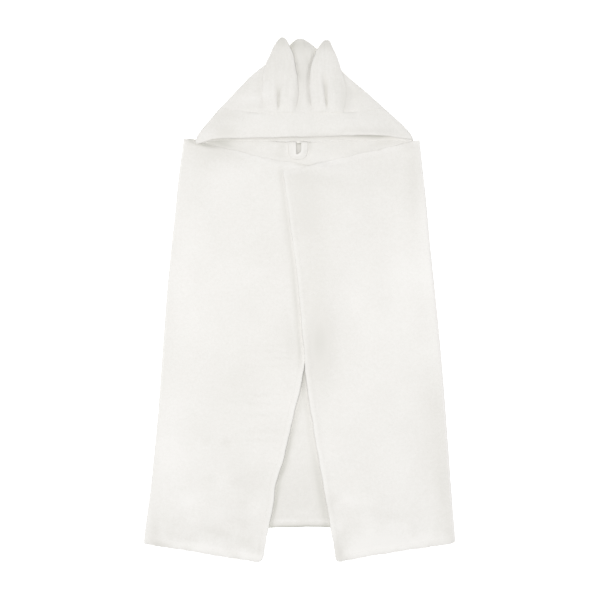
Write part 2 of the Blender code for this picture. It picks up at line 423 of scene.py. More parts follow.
def wrinkles(along: float, height: float) -> Relief:
    """The short wrinkles across the left front, each about 60 mm wide.

    Args:
        along: how far each reaches from its middle, in millimetres.
        height: height of each.

    Returns:
        The wrinkles.
    """
    places = (
        (-46, -84, 2), (-52, -96, -1), (-40, -108, 3),
        (-50, -124, 0), (-72, -177, 2), (-80, -193, -2),
        (-70, -214, 1), (-82, -245, 4), (-76, -260, 0),
    )
    return swells(*((x, y, 30, along, tilt, height) for x, y, tilt in places))


FRONT_UNEVEN = (Uneven(0.0006, 0.045, 21), Uneven(0.0004, 0.019, 22))
FRONT_MOTTLE = (Uneven(0.16, 0.048, 23),)

SHAPE = {  # heights in metres; rows run from the hood's peak down to the hem
    Panel.LEFT: FRONT_UNEVEN + wrinkles(3.0, -0.0007) + swells(
        (-165, 270, 50, 30, -20, 0.0040),
        (-60, 60, 150, 420, 0, 0.0060),
        (-170, -260, 70, 230, 6, 0.0030),
    ),
    Panel.RIGHT: FRONT_UNEVEN + swells(
        (10, 120, 120, 260, 0, 0.0060),
        (200, 0, 60, 260, 0, 0.0030),
        (29, -84, 13, 50, 0, -0.0045),
        (150, -300, 60, 180, 0, 0.0040),
    ),
    Panel.CROWN: swells(
        (-80, 390, 6.5, 32, 0, -0.0018),
        (96.5, 380, 8.5, 30, 6, -0.0024),
    ),
}

EAR_CREASE_SHADE = swells(  # painted shade in the creases where the crown and the ears' feet meet
    (16, 376, 4.5, 20, 9, -0.85),
    (83.5, 374, 6.2, 26, 5, -0.85),
    (-7, 372, 5.5, 20, 0, -0.80),
    (-70.7, 360, 4.5, 12, 0, -0.50),
    (80, 356, 5, 8, 0, -0.60),
)

# Light and shade painted into each panel's colour: above 0 lighter, below 0 darker; the fronts also take a
# random mottle
PAINTED_LIGHT_AND_MOTTLE = {
    Panel.CROWN: EAR_CREASE_SHADE + swells(
        (8, 475, 30, 15, 0, -0.60),
        (-10, 474, 12, 10, 0, -0.45),
        (-13.4, 473.2, 4.5, 7.5, -35, -0.85),
        (13, 442, 3.5, 11, 0, -0.50),
        (5, 410, 8, 50, 0, -0.25),
        (3, 406, 8, 18, 0, -0.40),
        (-105, 400, 15, 20, -40, -0.25),
        (-76, 390, 6, 28, 0, -0.30),
        (101, 388, 14, 14, 0, -0.65),
        (-86, 373, 38, 11, 0, 0.50),
    ),
    Panel.EAR: EAR_CREASE_SHADE + swells(
        (-34, 472.5, 18, 9, 0, -0.50),
        (43, 469, 20, 10, 0, -0.75),
        (43, 438, 22, 34, 0, 0.45),
        (-61, 380, 11, 18, 0, 0.50),
    ),
    Panel.BAND: swells(
        (-150, 345, 25, 12, 0, -0.35),
        (-120, 340, 26, 12, 0, -0.30),
        (-85, 340, 20, 8, 0, 0.35),
        (113, 329, 50, 12, 0, 0.30),
        (-65, 325, 50, 16, 0, 0.25),
        (110, 313, 45, 5, 0, -0.40),
        (-140, 312, 20, 12, 0, -0.75),
        (150, 308, 20, 8, 0, -0.20),
        (-172, 307, 18, 8, 25, 0.60),
        (40, 306, 30, 4, 0, -0.60),
    ),
    Panel.ROLL: swells((-205, 298.5, 9, 5.5, 0, -2.60)),
    Panel.BACK: swells(
        (-202, 299.2, 11, 4.8, 0, -2.30),
        (185, 293, 20, 4, 8, -0.55),
        (156, 291.5, 16, 6, 8, -0.70),
        (-141, 288, 16, 5, -8, -0.60),
        (140, 287, 30, 6, 12, -0.30),
        (-133, 285, 14, 5, -9, -0.45),
        (-33.5, 284, 7, 9, 0, -0.55),
        (17.2, 284, 4.5, 8, 0, -0.90),
        (-120, 282, 30, 6, -13, -0.60),
        (-80, 282, 50, 12, -8, -0.25),
        (60, 282, 60, 14, 5, -0.40),
        (115, 276, 35, 6, 10, -0.50),
        (-37, 271, 8, 7, 0, -0.50),
        (-40, 267, 20, 5, -9, -0.45),
        (-10, 260, 30, 6, 0, -0.30),
        (-33.5, -294, 9, 40, -14, -0.45),
        (10, -396, 28, 8, 0, 0.35),
    ),
    # the left front's wrinkles again, as painted shade along them
    Panel.LEFT: FRONT_MOTTLE + wrinkles(2.2, -0.40) + swells(
        (-203.5, 297.5, 8.5, 3.4, 0, -2.00),
        (-200, 294, 10, 6, 0, -0.75),
        (-186, 291.5, 5.5, 2.5, 0, 0.90),
        (-188, 289.5, 17, 3.4, -10, -1.50),
        (-167, 286.6, 24, 5, -9, -1.90),
        (-145, 278, 55, 14, -10, -0.75),
        (-163, 262, 40, 26, -15, -0.50),
        (-42, 257.5, 20, 5, -9, -0.55),
        (4, 251.2, 17, 2.6, -7, -1.50),
        (-94, 240, 40, 22, 0, 0.25),
        (-29, 125, 6, 55, 6, -0.30),
        (-52, 60, 42, 130, 8, -0.22),
        (-230, 35, 50, 120, 5, 0.42),
        (-250, -50, 14, 200, -6, -0.15),
        (-18, -72, 14, 40, 6, -0.60),
        (-125, -150, 50, 45, 0, -0.35),
        (-172, -261, 7, 7, 0, -0.40),
        (-138, -264, 7, 7, 0, -0.55),
        (-246, -290, 50, 110, 6, 0.46),
        (-112, -316, 22, 60, 0, -0.35),
        (-165, -332, 10, 8, 0, -0.40),
        (-125, -338, 12, 6, 0, -0.35),
        (-78, -370, 28, 70, -8, -0.45),
        (-205, -372, 22, 14, 10, 0.45),
        (-106, -378, 14, 10, 0, -0.35),
        (-82, -392, 22, 35, -8, 0.55),
        (-150, -395, 20, 12, 0, 0.35),
        (-284, -408, 6, 35, -4, 0.60),
        (-110, -410, 60, 20, 0, -0.35),
        (-105, -418, 11, 10, 0, -0.35),
        (-240, -425, 30, 20, 0, -0.35),
        (-150, -432, 30, 12, -6, -0.60),
        (-271, -433, 13, 24, 0, -0.75),
        (-215, -441, 18, 9, 0, -0.45),
        (-98, -445, 22, 14, 0, -0.30),
        (-262, -446, 24, 7, -6, -0.55),
        (-262, -453.5, 18, 4.5, -8, -1.50),
        (-180, -458, 50, 6, -9, 0.45),
        (-74, -462, 6, 14, -8, -0.60),
        (-90, -478, 20, 8, -9, 0.50),
    ),
    Panel.RIGHT: FRONT_MOTTLE + swells(
        (196, 290, 22, 9, -12, -0.70),
        (147, 279.5, 5, 1.8, 12, -1.60),
        (6, 251, 14, 2.4, -7, -1.10),
        (70, 247, 60, 16, -8, 0.65),
        (100, 235, 150, 40, 0, -0.30),
        (212, 220, 14, 80, 0, -0.55),
        (40, 195, 50, 70, 0, -0.32),
        (4, 180, 26, 90, 5, -0.60),
        (142, 75, 26, 110, 0, -0.35),
        (34, 50, 32, 120, 0, -0.45),
        (200, 35, 50, 110, 0, 0.45),
        (112, 0, 50, 130, 0, 0.32),
        (250, -40, 16, 300, 5, 0.50),
        (44, -72, 50, 110, 0, -0.35),
        (38, -82, 24, 58, 0, -1.05),
        (130, -228, 95, 48, 0, 0.22),
        (242, -240, 22, 90, 0, -0.35),
        (266, -270, 17, 170, 4, -0.70),
        (120, -300, 40, 60, 0, -0.30),
        (178, -325, 48, 55, 0, 0.26),
        (122, -350, 12, 9, 0, -0.40),
        (262, -350, 10, 40, 5, -0.35),
        (64, -370, 10, 11, 0, -0.45),
        (90, -372, 14, 12, 0, 0.35),
        (55, -383, 8, 18, 8, -0.60),
        (110, -395, 36, 12, 0, -0.35),
        (175, -402, 40, 10, -4, -0.30),
        (120, -405, 20, 75, 0, 0.40),
        (112, -418, 11, 12, 0, -0.45),
        (72, -420, 9, 12, 0, 0.55),
        (86, -434, 22, 20, 0, -0.85),
        (277, -437, 10, 14, 0, -0.60),
        (93, -440, 20, 12, 60, 0.40),
        (165, -442, 62, 30, 8, 0.60),
        (223, -448, 20, 10, 6, 0.60),
        (130, -452, 40, 10, 8, 0.50),
        (149, -458, 20, 10, 8, 0.35),
        (70, -470, 13, 20, 12, -1.00),
    ),
}


# ---- Towel ----


@dataclass(frozen=True)
class Side:
    """One side of the towel: its fold line, and the free edge of the front that it makes."""

    panel: Panel
    inward: float  # +1 where the towel's middle is to the right, and -1 to the left
    shoulder_x: float
    end: tuple[float, float]
    neck_corner: tuple[float, float]
    hem_corner: tuple[float, float]
    fold_bows: tuple[Crest, ...]  # sideways, at shares of the fold's length
    edge_bows: tuple[Crest, ...]  # the same for the free edge
    corner: float
    seed: int
    curl: Table  # how far the front stands up, at distances along its free edge and its neck edge

    def edge_length(self) -> float:
        """Length of the free edge from the neck to the hem."""
        return float(np.linalg.norm(np.array(self.neck_corner) - np.array(self.hem_corner)))

    def waves(self, kinds: tuple[tuple[float, float], ...], first: int) -> Relief:
        """The side's own uneven waves, for kinds of a height and a cell, seeded from the first on."""
        return tuple(Uneven(*kind, self.seed + first + turn) for turn, kind in enumerate(kinds))


LEFT = Side(
    panel=Panel.LEFT,
    inward=1.0,
    shoulder_x=-0.2133,
    end=(-0.2877, -0.4530),
    neck_corner=(0.0875, 0.2381),
    hem_corner=(-0.0735, -0.4889),
    fold_bows=(
        Crest(-0.0062, 0.30, 0.44),
        Crest(-0.0024, 0.07, 0.15),
        Crest(-0.0034, 1.00, 0.17),
        Crest(-0.0004, 0.50, 0.60),
    ),
    edge_bows=(Crest(0.0024, 0.56, 0.09), Crest(-0.0042, 0.800, 0.065), Crest(0.0034, 0.985, 0.050)),
    corner=0.0125,
    seed=71,
    curl=Table(
        ("run", "edge", "neck"),
        (
            (0.00, 0.0000, 0.0000),
            (0.20, 0.0000, 0.0002),
            (0.27, 0.0000, 0.0006),
            (0.31, 0.0006, 0.0016),
            (0.36, 0.0026, 0.0004),
            (0.42, 0.0012, 0.0000),
            (0.48, 0.0014, 0.0000),
            (0.58, 0.0020, 0.0000),
            (0.64, 0.0018, 0.0000),
            (0.70, 0.0012, 0.0000),
            (0.74, 0.0008, 0.0000),
        ),
    ),
)
RIGHT = Side(
    panel=Panel.RIGHT,
    inward=-1.0,
    shoulder_x=0.2224,
    end=(0.2876, -0.4508),
    neck_corner=(-0.0315, 0.2386),
    hem_corner=(0.0664, -0.4866),
    fold_bows=(Crest(0.0046, 0.50, 0.50), Crest(0.0014, 0.13, 0.16), Crest(0.0016, 0.90, 0.60)),
    edge_bows=(Crest(-0.0085, 0.60, 0.38), Crest(-0.0016, 0.52, 0.08), Crest(0.0002, 0.80, 0.08)),
    corner=0.0070,
    seed=61,
    curl=Table(
        ("run", "edge", "neck"),
        (
            (0.00, 0.0010, 0.0002),
            (0.08, 0.0018, 0.0001),
            (0.18, 0.0022, 0.0001),
            (0.24, 0.0020, 0.0001),
            (0.33, 0.0018, 0.0000),
            (0.37, 0.0008, 0.0000),
            (0.48, 0.0005, 0.0000),
            (0.56, 0.0016, 0.0000),
            (0.63, 0.0018, 0.0000),
            (0.74, 0.0004, 0.0000),
        ),
    ),
)

NECK_SEAM = Table(  # how deep and how wide the seam's groove is
    ("x", "depth", "reach"),
    (
        (-0.060, 0.0002, 0.0012),
        (-0.042, 0.0012, 0.0016),
        (-0.024, 0.0014, 0.0018),
        (-0.018, 0.0004, 0.0014),
        (-0.009, 0.0006, 0.0020),
        (-0.006, 0.0024, 0.0042),
        (0.004, 0.0024, 0.0042),
        (0.007, 0.0006, 0.0020),
        (0.014, 0.0022, 0.0018),
        (0.024, 0.0022, 0.0018),
        (0.032, 0.0002, 0.0014),
        (0.060, 0.0001, 0.0012),
    ),
)

HOOD_FRONT_EDGE = Table(  # how far the edge stands up, and how deep and how far down the shade below it is
    ("x", "y", "lift", "shade", "reach"),
    (
        (-0.1935, 0.2905, 0.0040, 0.5, 0.003),
        (-0.1840, 0.2916, 0.0045, 1.6, 0.006),
        (-0.1747, 0.2942, 0.0068, 1.6, 0.009),
        (-0.1628, 0.2982, 0.0075, 2.2, 0.014),
        (-0.1450, 0.3000, 0.0048, 2.2, 0.012),
        (-0.1274, 0.3005, 0.0020, 1.6, 0.010),
        (-0.1020, 0.3008, -0.0020, 0.4, 0.006),
        (-0.0900, 0.3010, -0.0024, 0.5, 0.005),
        (-0.0650, 0.3014, -0.0020, 0.7, 0.004),
        (-0.0200, 0.3026, -0.0010, 0.7, 0.003),
        (0.0000, 0.3034, -0.0010, 0.8, 0.002),
        (0.0360, 0.3036, -0.0075, 0.7, 0.004),
        (0.0560, 0.3040, -0.0040, 0.4, 0.004),
        (0.0800, 0.3051, 0.0010, 0.8, 0.003),
        (0.1100, 0.3057, 0.0058, 2.0, 0.0042),
        (0.1450, 0.3054, 0.0075, 2.7, 0.0050),
        (0.1700, 0.3034, 0.0050, 1.1, 0.0040),
        (0.1900, 0.3005, 0.0004, -0.45, 0.0030),
        (0.2103, 0.2975, 0.0, -0.30, 0.0030),
    ),
)


def neck_groove(x: np.ndarray, distance: np.ndarray) -> np.ndarray:
    """Depth of the neck seam's groove at distances from the seam."""
    return NECK_SEAM.read("depth", x) * bump(distance / NECK_SEAM.read("reach", x))


@dataclass(frozen=True)
class HoodShade:
    """Painted shade on the cloth just below the hood's front edge and inside the hang loop."""

    near_share: float = 0.45  # what is left of the shade close to the edge's left end
    near: Onset = Onset(0.0, 0.0035)
    left_end: Onset = Onset(-0.110, -0.030)
    broad_depth: float = 0.42
    broad_width: float = 0.016
    broad_half: float = 0.21
    loop_depth: float = 1.10
    loop_sides: tuple[Onset, Onset] = (Onset(-0.0085, 0.002), Onset(0.0010, 0.002))
    loop_ends: tuple[Onset, Onset] = (Onset(0.2690, 0.004), Onset(0.2920, 0.002))
    seam_spots: tuple[ShadeSpot, ...] = (
        ShadeSpot(-0.0005, 0.2905, 0.0075, 0.0030, 2.40),
        ShadeSpot(0.0185, 0.2935, 0.0055, 0.0022, 2.20),
        ShadeSpot(-0.0300, 0.2940, 0.0110, 0.0018, 1.54, slant=0.1),
    )

    def at(self, x: np.ndarray, y: np.ndarray) -> np.ndarray:
        """Painted shade at each place.

        Args:
            x: places across.
            y: places along.

        Returns:
            The painted shade.
        """
        below = np.maximum(HOOD_FRONT_EDGE.read("y", x) - y, 0.0)
        shade = HOOD_FRONT_EDGE.read("shade", x) * bell(below / HOOD_FRONT_EDGE.read("reach", x))
        shade = shade * mix(1.0, mix(self.near_share, 1.0, self.near.at(below)), self.left_end.at(x))
        broad = self.broad_depth * bell(below / self.broad_width) * bump(x / self.broad_half)
        in_loop = between(self.loop_sides, x) * between(self.loop_ends, y)
        return relief(self.seam_spots, x, y) - shade - broad - self.loop_depth * in_loop


@dataclass(frozen=True)
class EdgeShade:
    """Painted shade on the left front in a narrow band along the right front's edge."""

    length: float = 0.35
    shown: tuple[Onset, Onset] = (Onset(-0.03, 0.04), Onset(0.96, 0.12))  # at shares of the length
    depth: tuple[float, float] = (1.15, 1.35)
    centre: tuple[float, float] = (0.0040, 0.0085)
    uneven: Uneven = Uneven(0.0008, 0.022, 91)
    reach: float = 0.0048

    def at(self, outside: np.ndarray, y: np.ndarray) -> np.ndarray:
        """Painted shade at each place.

        Args:
            outside: distances outside the right front's edge.
            y: places along.

        Returns:
            The painted shade.
        """
        down = (RIGHT.neck_corner[1] - y) / self.length
        centre = mix(*self.centre, ease(down)) + self.uneven.at(y)
        edge_shade = mix(*self.depth, ease(down)) * bell((outside - centre) / self.reach)
        return -edge_shade * between(self.shown, down)


@dataclass(frozen=True)
class SlitShade:
    """Painted shade on the back where it shows between the fronts, darkest beside their edges."""

    shown: Onset = Onset(-0.115, -0.01)
    base: float = 0.22
    base_low: Onset = Onset(-0.28, -0.08, 0.36)
    left_depth: float = 0.9
    left_low: Onset = Onset(-0.195, -0.05, 0.9)
    left_uneven: Uneven = Uneven(0.35, 0.020, 93)
    left_centre: float = 0.0034
    left_reach: float = 0.0074
    left_narrow: Onset = Onset(-0.345, -0.04, 0.28)
    reach_uneven: Uneven = Uneven(0.0010, 0.013, 94)
    near_share: float = 0.40
    near: Onset = Onset(0.0, 0.0036)
    right_depth: tuple[float, float] = (0.55, 1.15)
    right_reach: tuple[float, float] = (0.0046, 0.0090)
    right_centre: float = 0.0075
    right_low: Onset = Onset(-0.25, -0.07)
    top_depth: float = 1.1  # of the wedge where the fronts begin to part
    top_reach: float = 0.0048
    top: Onset = Onset(-0.140, -0.035)

    def at(self, left: np.ndarray, right: np.ndarray, y: np.ndarray) -> np.ndarray:
        """Painted shade at each place.

        Args:
            left: distances outside the left front's edge, 0 under it.
            right: the same for the right front.
            y: places along.

        Returns:
            The painted shade.
        """
        depth = self.left_depth + self.left_low.at(y) + self.left_uneven.at(y)
        reach = (self.left_reach + self.reach_uneven.at(y)) * (1.0 - self.left_narrow.at(y))
        near = mix(self.near_share, 1.0, self.near.at(left))
        beside_left = depth * bell((left - self.left_centre) / reach) * near
        low = self.right_low.at(y)
        across = (right - self.right_centre) / mix(*self.right_reach, low)
        beside_right = mix(*self.right_depth, low) * bell(across)
        wedge = self.top_depth * bell(left / self.top_reach) * (1.0 - self.top.at(y))
        return -(beside_left + beside_right + wedge + self.base + self.base_low.at(y)) * self.shown.at(y)


@dataclass(frozen=True)
class FrontGrid:
    """The points of a front in plan, and how far each lies from the front's edges and its fold's roll."""

    x: np.ndarray
    y: np.ndarray
    from_edge: np.ndarray
    from_neck: np.ndarray
    from_hem: np.ndarray
    from_roll: np.ndarray


@dataclass
class Towel:
    """The towel, one rectangle of terry with both sides folded to the front."""

    length: float = 0.745
    cut: tuple[float, float] = (1.00, 0.75)
    row_step: float = 0.0042
    front_width: float = 0.26
    front_step: float = 0.0044
    back_columns: tuple[tuple[float, float, int], ...] = (  # closest where the back shows
        (0.0, 0.41, 20),
        (0.415, 0.585, 34),
        (0.59, 1.0, 20),
    )
    shoulder_y: float = 0.2967
    hem_rise: float = 0.0304
    neck_dip: Crest = Crest(-0.003, 0.0, 0.07)
    shoulder_rise: Onset = Onset(-0.186, -0.022, 0.0030)
    shoulder_crest: Crest = Crest(0.0024, -0.1985, 0.0100)
    shoulder_depth: float = 0.03
    fold_radius: float = 0.0040
    fold_radius_end: float = 0.0026
    fold_ease: float = 0.060
    fold_corner: float = 0.006
    fold_corner_share: float = 0.6
    fold_count: int = 10
    # painted light on the rolls of the side folds
    fold_nap: float = 0.6
    fold_end: float = 0.5  # least share of its thickness at its ends
    step: Onset = Onset(-0.006, -0.060)  # off the left front
    hem_below: Crest = Crest(HEM.extra, 0.004, 0.016)
    hem_below_neck: Onset = Onset(0.195, 0.030, 0.85)
    tucked: Onset = Onset(0.004, -0.018)
    tuck_depth: float = 0.045
    sag: Crest = Crest(-0.0040, -0.052, 0.105)
    sag_depth: float = 0.09
    edge_waves: tuple[tuple[float, float], ...] = ((0.0006, 0.011), (0.0005, 0.037))
    neck_waves: tuple[tuple[float, float], ...] = ((0.0008, 0.010), (0.0008, 0.029))
    hem_waves: tuple[tuple[float, float], ...] = ((0.0007, 0.010), (0.0010, 0.034))
    back_waves: Uneven = Uneven(0.0009, 0.012, 81)
    wavy_depth: float = 0.02
    neck_thin: float = 0.10
    neck_round: float = 0.015
    free_share: float = 0.15  # of the relief, at the very edge
    free_reach: float = 0.05
    edge_curl_reach: float = 0.022
    neck_curl_reach: float = 0.016
    shown_half: float = 0.12  # of the back's hem, which shows between the fronts
    hem_dents: Crest = Crest(0.0011, 0.009, 0.010)
    hem_pucker: Pucker = Pucker(11)
    edge_dents: Crest = Crest(0.0005, 0.009, 0.009)
    edge_pucker: Pucker = Pucker(12)
    back_dents: Crest = Crest(0.0008, 0.008, 0.009)
    back_pucker: Pucker = Pucker(31)
    # painted highlight along the fronts' free edges
    edge_nap: Crest = Crest(0.45, 0.002, 0.005)
    # painted light along the fronts' neck edges
    neck_nap: Crest = Crest(0.70, 0.0, 0.016)
    # painted light along the fronts' hems
    hem_nap: tuple[Crest, ...] = (Crest(0.22, 0.012, 0.014), Crest(0.5, 0.0, 0.005))
    # painted light, more of it towards the hem
    low_nap: Onset = Onset(-0.20, -0.20, 0.12)
    crumple: Uneven = Uneven(0.45, 0.015, 24)
    crumple_reach: float = 0.045
    # painted light on the ridge of the back's hem, where it shows
    back_hem_nap: Crest = Crest(0.75, 0.0125, 0.0065)
    back_hem_uneven: Uneven = Uneven(0.6, 0.012, 95)
    back_edge_shades: tuple[tuple[float, float], ...] = ((0.9, 0.0085), (2.2, 0.0026))  # depth and reach

    def fold_point(self, side: Side, v: np.ndarray) -> np.ndarray:
        """Points of a fold's outer edge in plan.

        Args:
            side: which side it belongs to.
            v: shares of its length, from 0 at the shoulder to 1 at the hem.

        Returns:
            The points.
        """
        y = mix(self.shoulder_y, side.end[1], v)
        near_hem = np.clip(1.0 - (y - side.end[1]) / self.fold_corner, 0.0, 1.0)
        inset = self.fold_corner * self.fold_corner_share * (1.0 - np.sqrt(1.0 - near_hem**2))
        x = mix(side.shoulder_x, side.end[0], v) + relief(side.fold_bows, v) + side.inward * inset
        return np.stack([x, y], axis=-1)

    def radius(self, v: np.ndarray) -> np.ndarray:
        """Radius of the fold, full halfway down and pressed flatter at its ends."""
        return mix(self.fold_radius_end, self.fold_radius, np.sqrt(np.sin(np.pi * v)))

    def inward(self, side: Side) -> np.ndarray:
        """Unit vector in plan from the fold line into the towel."""
        run = np.array([side.end[0] - side.shoulder_x, side.end[1] - self.shoulder_y])
        return np.array([-run[1], run[0]]) * side.inward / np.linalg.norm(run)

    def roll_centre(self, side: Side, v: np.ndarray) -> np.ndarray:
        """Where the rolled cloth of a fold meets the flat cloth, in plan."""
        reach = self.radius(v) + CLOTH / 2.0
        return self.fold_point(side, v) + reach[:, None] * self.inward(side)

    def free_edge(self, side: Side, v: np.ndarray) -> np.ndarray:
        """Points of a front's free edge in plan.

        Args:
            side: which side it belongs to.
            v: shares of its length, from 0 at the neck to 1 at the hem.

        Returns:
            The points.
        """
        points = mix(np.array(side.neck_corner), np.array(side.hem_corner), v[:, None])
        points[:, 0] += relief(side.edge_bows, v)
        return points

    def inside_left(self, x: np.ndarray, y: np.ndarray) -> np.ndarray:
        """Distance inside the left front from its free edge and its neck edge; below 0 outside.

        Args:
            x: places across.
            y: places along.

        Returns:
            The distance at each place.
        """
        corner, shoulder = np.array(LEFT.neck_corner), np.array([LEFT.shoulder_x, self.shoulder_y])
        inside = []
        for start, end in ((np.array(LEFT.hem_corner), corner), (corner, shoulder)):
            run = (end - start) / np.linalg.norm(end - start)
            inside.append((y - start[1]) * run[0] - (x - start[0]) * run[1])
        return np.minimum(*inside)

    def outside(self, side: Side, x: np.ndarray, y: np.ndarray) -> np.ndarray:
        """Distance outside a front's free edge, level with it; below 0 under the front.

        Args:
            side: which side the front belongs to.
            x: places across.
            y: places along.

        Returns:
            The distance at each place.
        """
        top, foot = side.neck_corner[1], side.hem_corner[1]
        v = np.clip((top - y) / (top - foot), 0.0, 1.0)
        return (x - self.free_edge(side, v.ravel())[:, 0].reshape(v.shape)) * side.inward

    def front(self, side: Side, v: np.ndarray, shares: np.ndarray) -> Cloth:
        """A front, its columns from the free edge to the fold and its rows from neck to hem.

        Args:
            side: which side it belongs to.
            v: its rows, as shares of its length.
            shares: its columns, as shares of its mean width.

        Returns:
            The cloth of the front.
        """
        grid = self._front_grid(side, v, shares)
        wall = self._front_wall(grid)
        height = FRONT_Z + (wall - CLOTH) / 2.0
        if side is RIGHT:
            height = height + self._over_left(grid)
        edge = np.minimum(np.minimum(grid.from_edge, grid.from_neck), grid.from_hem)
        free = mix(self.free_share, 1.0, ease(edge / self.free_reach))
        height = height + np.maximum(relief(SHAPE[side.panel], grid.x, grid.y) * free, 0.0)
        edge_curl, neck_curl = side.curl.read("edge", grid.from_neck), side.curl.read("neck", grid.from_edge)
        height = height + edge_curl * bell(grid.from_edge / self.edge_curl_reach)
        height = height + neck_curl * bell(grid.from_neck / self.neck_curl_reach)
        roll_top = BACK_Z + 2.0 * self.radius(v)[:, None]
        height = mix(roll_top, height, ease(grid.from_roll / self.fold_ease))
        return Cloth(grid.x, grid.y, height, wall, self._front_nap(side, grid))

    def _front_grid(self, side: Side, v: np.ndarray, shares: np.ndarray) -> FrontGrid:
        """Lays a front's grid out in plan.

        Args:
            side: which side the front belongs to.
            v: its rows, as shares of its length.
            shares: its columns, as shares of its mean width.

        Returns:
            The grid, whose columns near the free edge keep their distances all the way down.
        """
        start, end = self.roll_centre(side, v), self.free_edge(side, v)
        width = np.linalg.norm(start - end, axis=1)[:, None]
        mean, fine = float(width.mean()), HEM_STEPS[-1]
        fixed = shares * mean
        from_edge = np.where(fixed <= fine, fixed, fine + (width - fine) * (fixed - fine) / (mean - fine))
        from_neck = v[:, None] * side.edge_length() + 0.0 * from_edge
        from_hem = side.edge_length() - from_neck
        plan = mix(end[:, None, :], start[:, None, :], (from_edge / width)[..., None])
        plan = self._round_corner(plan, side, from_edge, from_hem)
        plan = self._wavy(plan, side, from_edge, from_neck, from_hem)
        return FrontGrid(plan[..., 0], plan[..., 1], from_edge, from_neck, from_hem, width - from_edge)

    def _front_wall(self, grid: FrontGrid) -> np.ndarray:
        """Thickness of a front with its hems.

        Args:
            grid: the front's points.

        Returns:
            The thickness at each point.
        """
        from_side = np.minimum(grid.from_edge, grid.from_hem)
        added = np.maximum(HEM.added(from_side), NECK_HEM.added(grid.from_neck))
        round_neck = np.sin(0.5 * np.pi * np.clip(grid.from_neck / self.neck_round, 0.0, 1.0))
        share = np.minimum(rounded(from_side, HEM.edge), mix(self.neck_thin, 1.0, round_neck))
        dents = self.hem_dents.at(grid.from_hem) * self.hem_pucker.at(grid.from_edge)
        dents = dents + self.edge_dents.at(grid.from_edge) * self.edge_pucker.at(grid.from_neck)
        return (CLOTH + added) * share - dents

    def _over_left(self, grid: FrontGrid) -> np.ndarray:
        """Height that the right front gains where it lies on the left one and steps over its hem.

        Args:
            grid: the right front's points.

        Returns:
            The height at each point.
        """
        inside = self.inside_left(grid.x, grid.y)
        hem_below = self.hem_below.at(np.clip(inside, 0.0, None)) * (1.0 - self.hem_below_neck.at(grid.y))
        tucked = self.tucked.at(inside) * fade(grid.from_neck / self.tuck_depth)
        return (LAYER + hem_below) * (1.0 - self.step.at(inside)) * (1.0 - tucked)

    def _front_nap(self, side: Side, grid: FrontGrid) -> np.ndarray:
        """Painted light and shade of a front, with a random mottle.

        Args:
            side: which side it belongs to.
            grid: its points.

        Returns:
            The value at each point.
        """
        mottle_and_light = relief(PAINTED_LIGHT_AND_MOTTLE[side.panel], grid.x, grid.y) + relief(self.hem_nap, grid.from_hem)
        mottle_and_light = mottle_and_light + self.edge_nap.at(grid.from_edge) + self.neck_nap.at(grid.from_neck)
        mottle_and_light = mottle_and_light + self.low_nap.at(grid.y)
        mottle_and_light = mottle_and_light + bell(grid.from_hem / self.crumple_reach) * self.crumple.at(grid.x, grid.y)
        if side is LEFT:
            mottle_and_light = mottle_and_light + EdgeShade().at(self.outside(RIGHT, grid.x, grid.y), grid.y)
        return mottle_and_light

    def _wavy(
        self,
        plan: np.ndarray,
        side: Side,
        from_edge: np.ndarray,
        from_neck: np.ndarray,
        from_hem: np.ndarray,
    ) -> np.ndarray:
        """Makes a front's edges a little uneven, as sewn terry is, and lets the left neck edge sag.

        Args:
            plan: the front's points in plan.
            side: which side it belongs to.
            from_edge: distance of each point from the free edge.
            from_neck: its distance from the neck edge.
            from_hem: its distance from the hem.

        Returns:
            The moved points.
        """
        shift = relief(side.waves(self.edge_waves, 0), from_neck) * fade(from_edge / self.wavy_depth)
        plan = plan + shift[..., None] * self.inward(side)
        rise = relief(side.waves(self.neck_waves, 2), from_edge) * fade(from_neck / self.wavy_depth)
        if side is LEFT:
            rise = rise + self.sag.at(plan[..., 0]) * fade(from_neck / self.sag_depth)
            rise = rise + self.to_shoulder(plan[..., 0], from_neck)
        rise = rise + relief(side.waves(self.hem_waves, 4), from_edge) * fade(from_hem / self.wavy_depth)
        return plan + np.stack([0.0 * rise, rise], axis=-1)

    def _round_corner(
        self, plan: np.ndarray, side: Side, from_edge: np.ndarray, from_hem: np.ndarray
    ) -> np.ndarray:
        """Draws the corner between a front's free edge and its hem in to a quarter circle.

        Args:
            plan: the front's points in plan.
            side: which side it belongs to.
            from_edge: distance of each point from the free edge.
            from_hem: its distance from the hem.

        Returns:
            The moved points.
        """
        a = np.clip(1.0 - from_edge / side.corner, 0.0, 1.0)
        b = np.clip(1.0 - from_hem / side.corner, 0.0, 1.0)
        reach = np.hypot(a, b)
        drawn = np.where(reach > 0.0, 1.0 - np.maximum(a, b) / np.maximum(reach, 1e-9), 0.0)
        across = self.roll_centre(side, np.array([1.0]))[0] - np.array(side.hem_corner)
        up = np.array(side.neck_corner) - np.array(side.hem_corner)
        across, up = across / np.linalg.norm(across), up / np.linalg.norm(up)
        return plan + side.corner * drawn[..., None] * (a[..., None] * across + b[..., None] * up)

    def to_shoulder(self, x: np.ndarray, from_neck: np.ndarray) -> np.ndarray:
        """How far the top edge runs up towards the left shoulder."""
        return (self.shoulder_rise.at(x) + self.shoulder_crest.at(x)) * fade(from_neck / self.shoulder_depth)

    def neck_y(self, x: np.ndarray) -> np.ndarray:
        """The towel's top edge along the neck seam."""
        return self.shoulder_y + self.neck_dip.at(x)

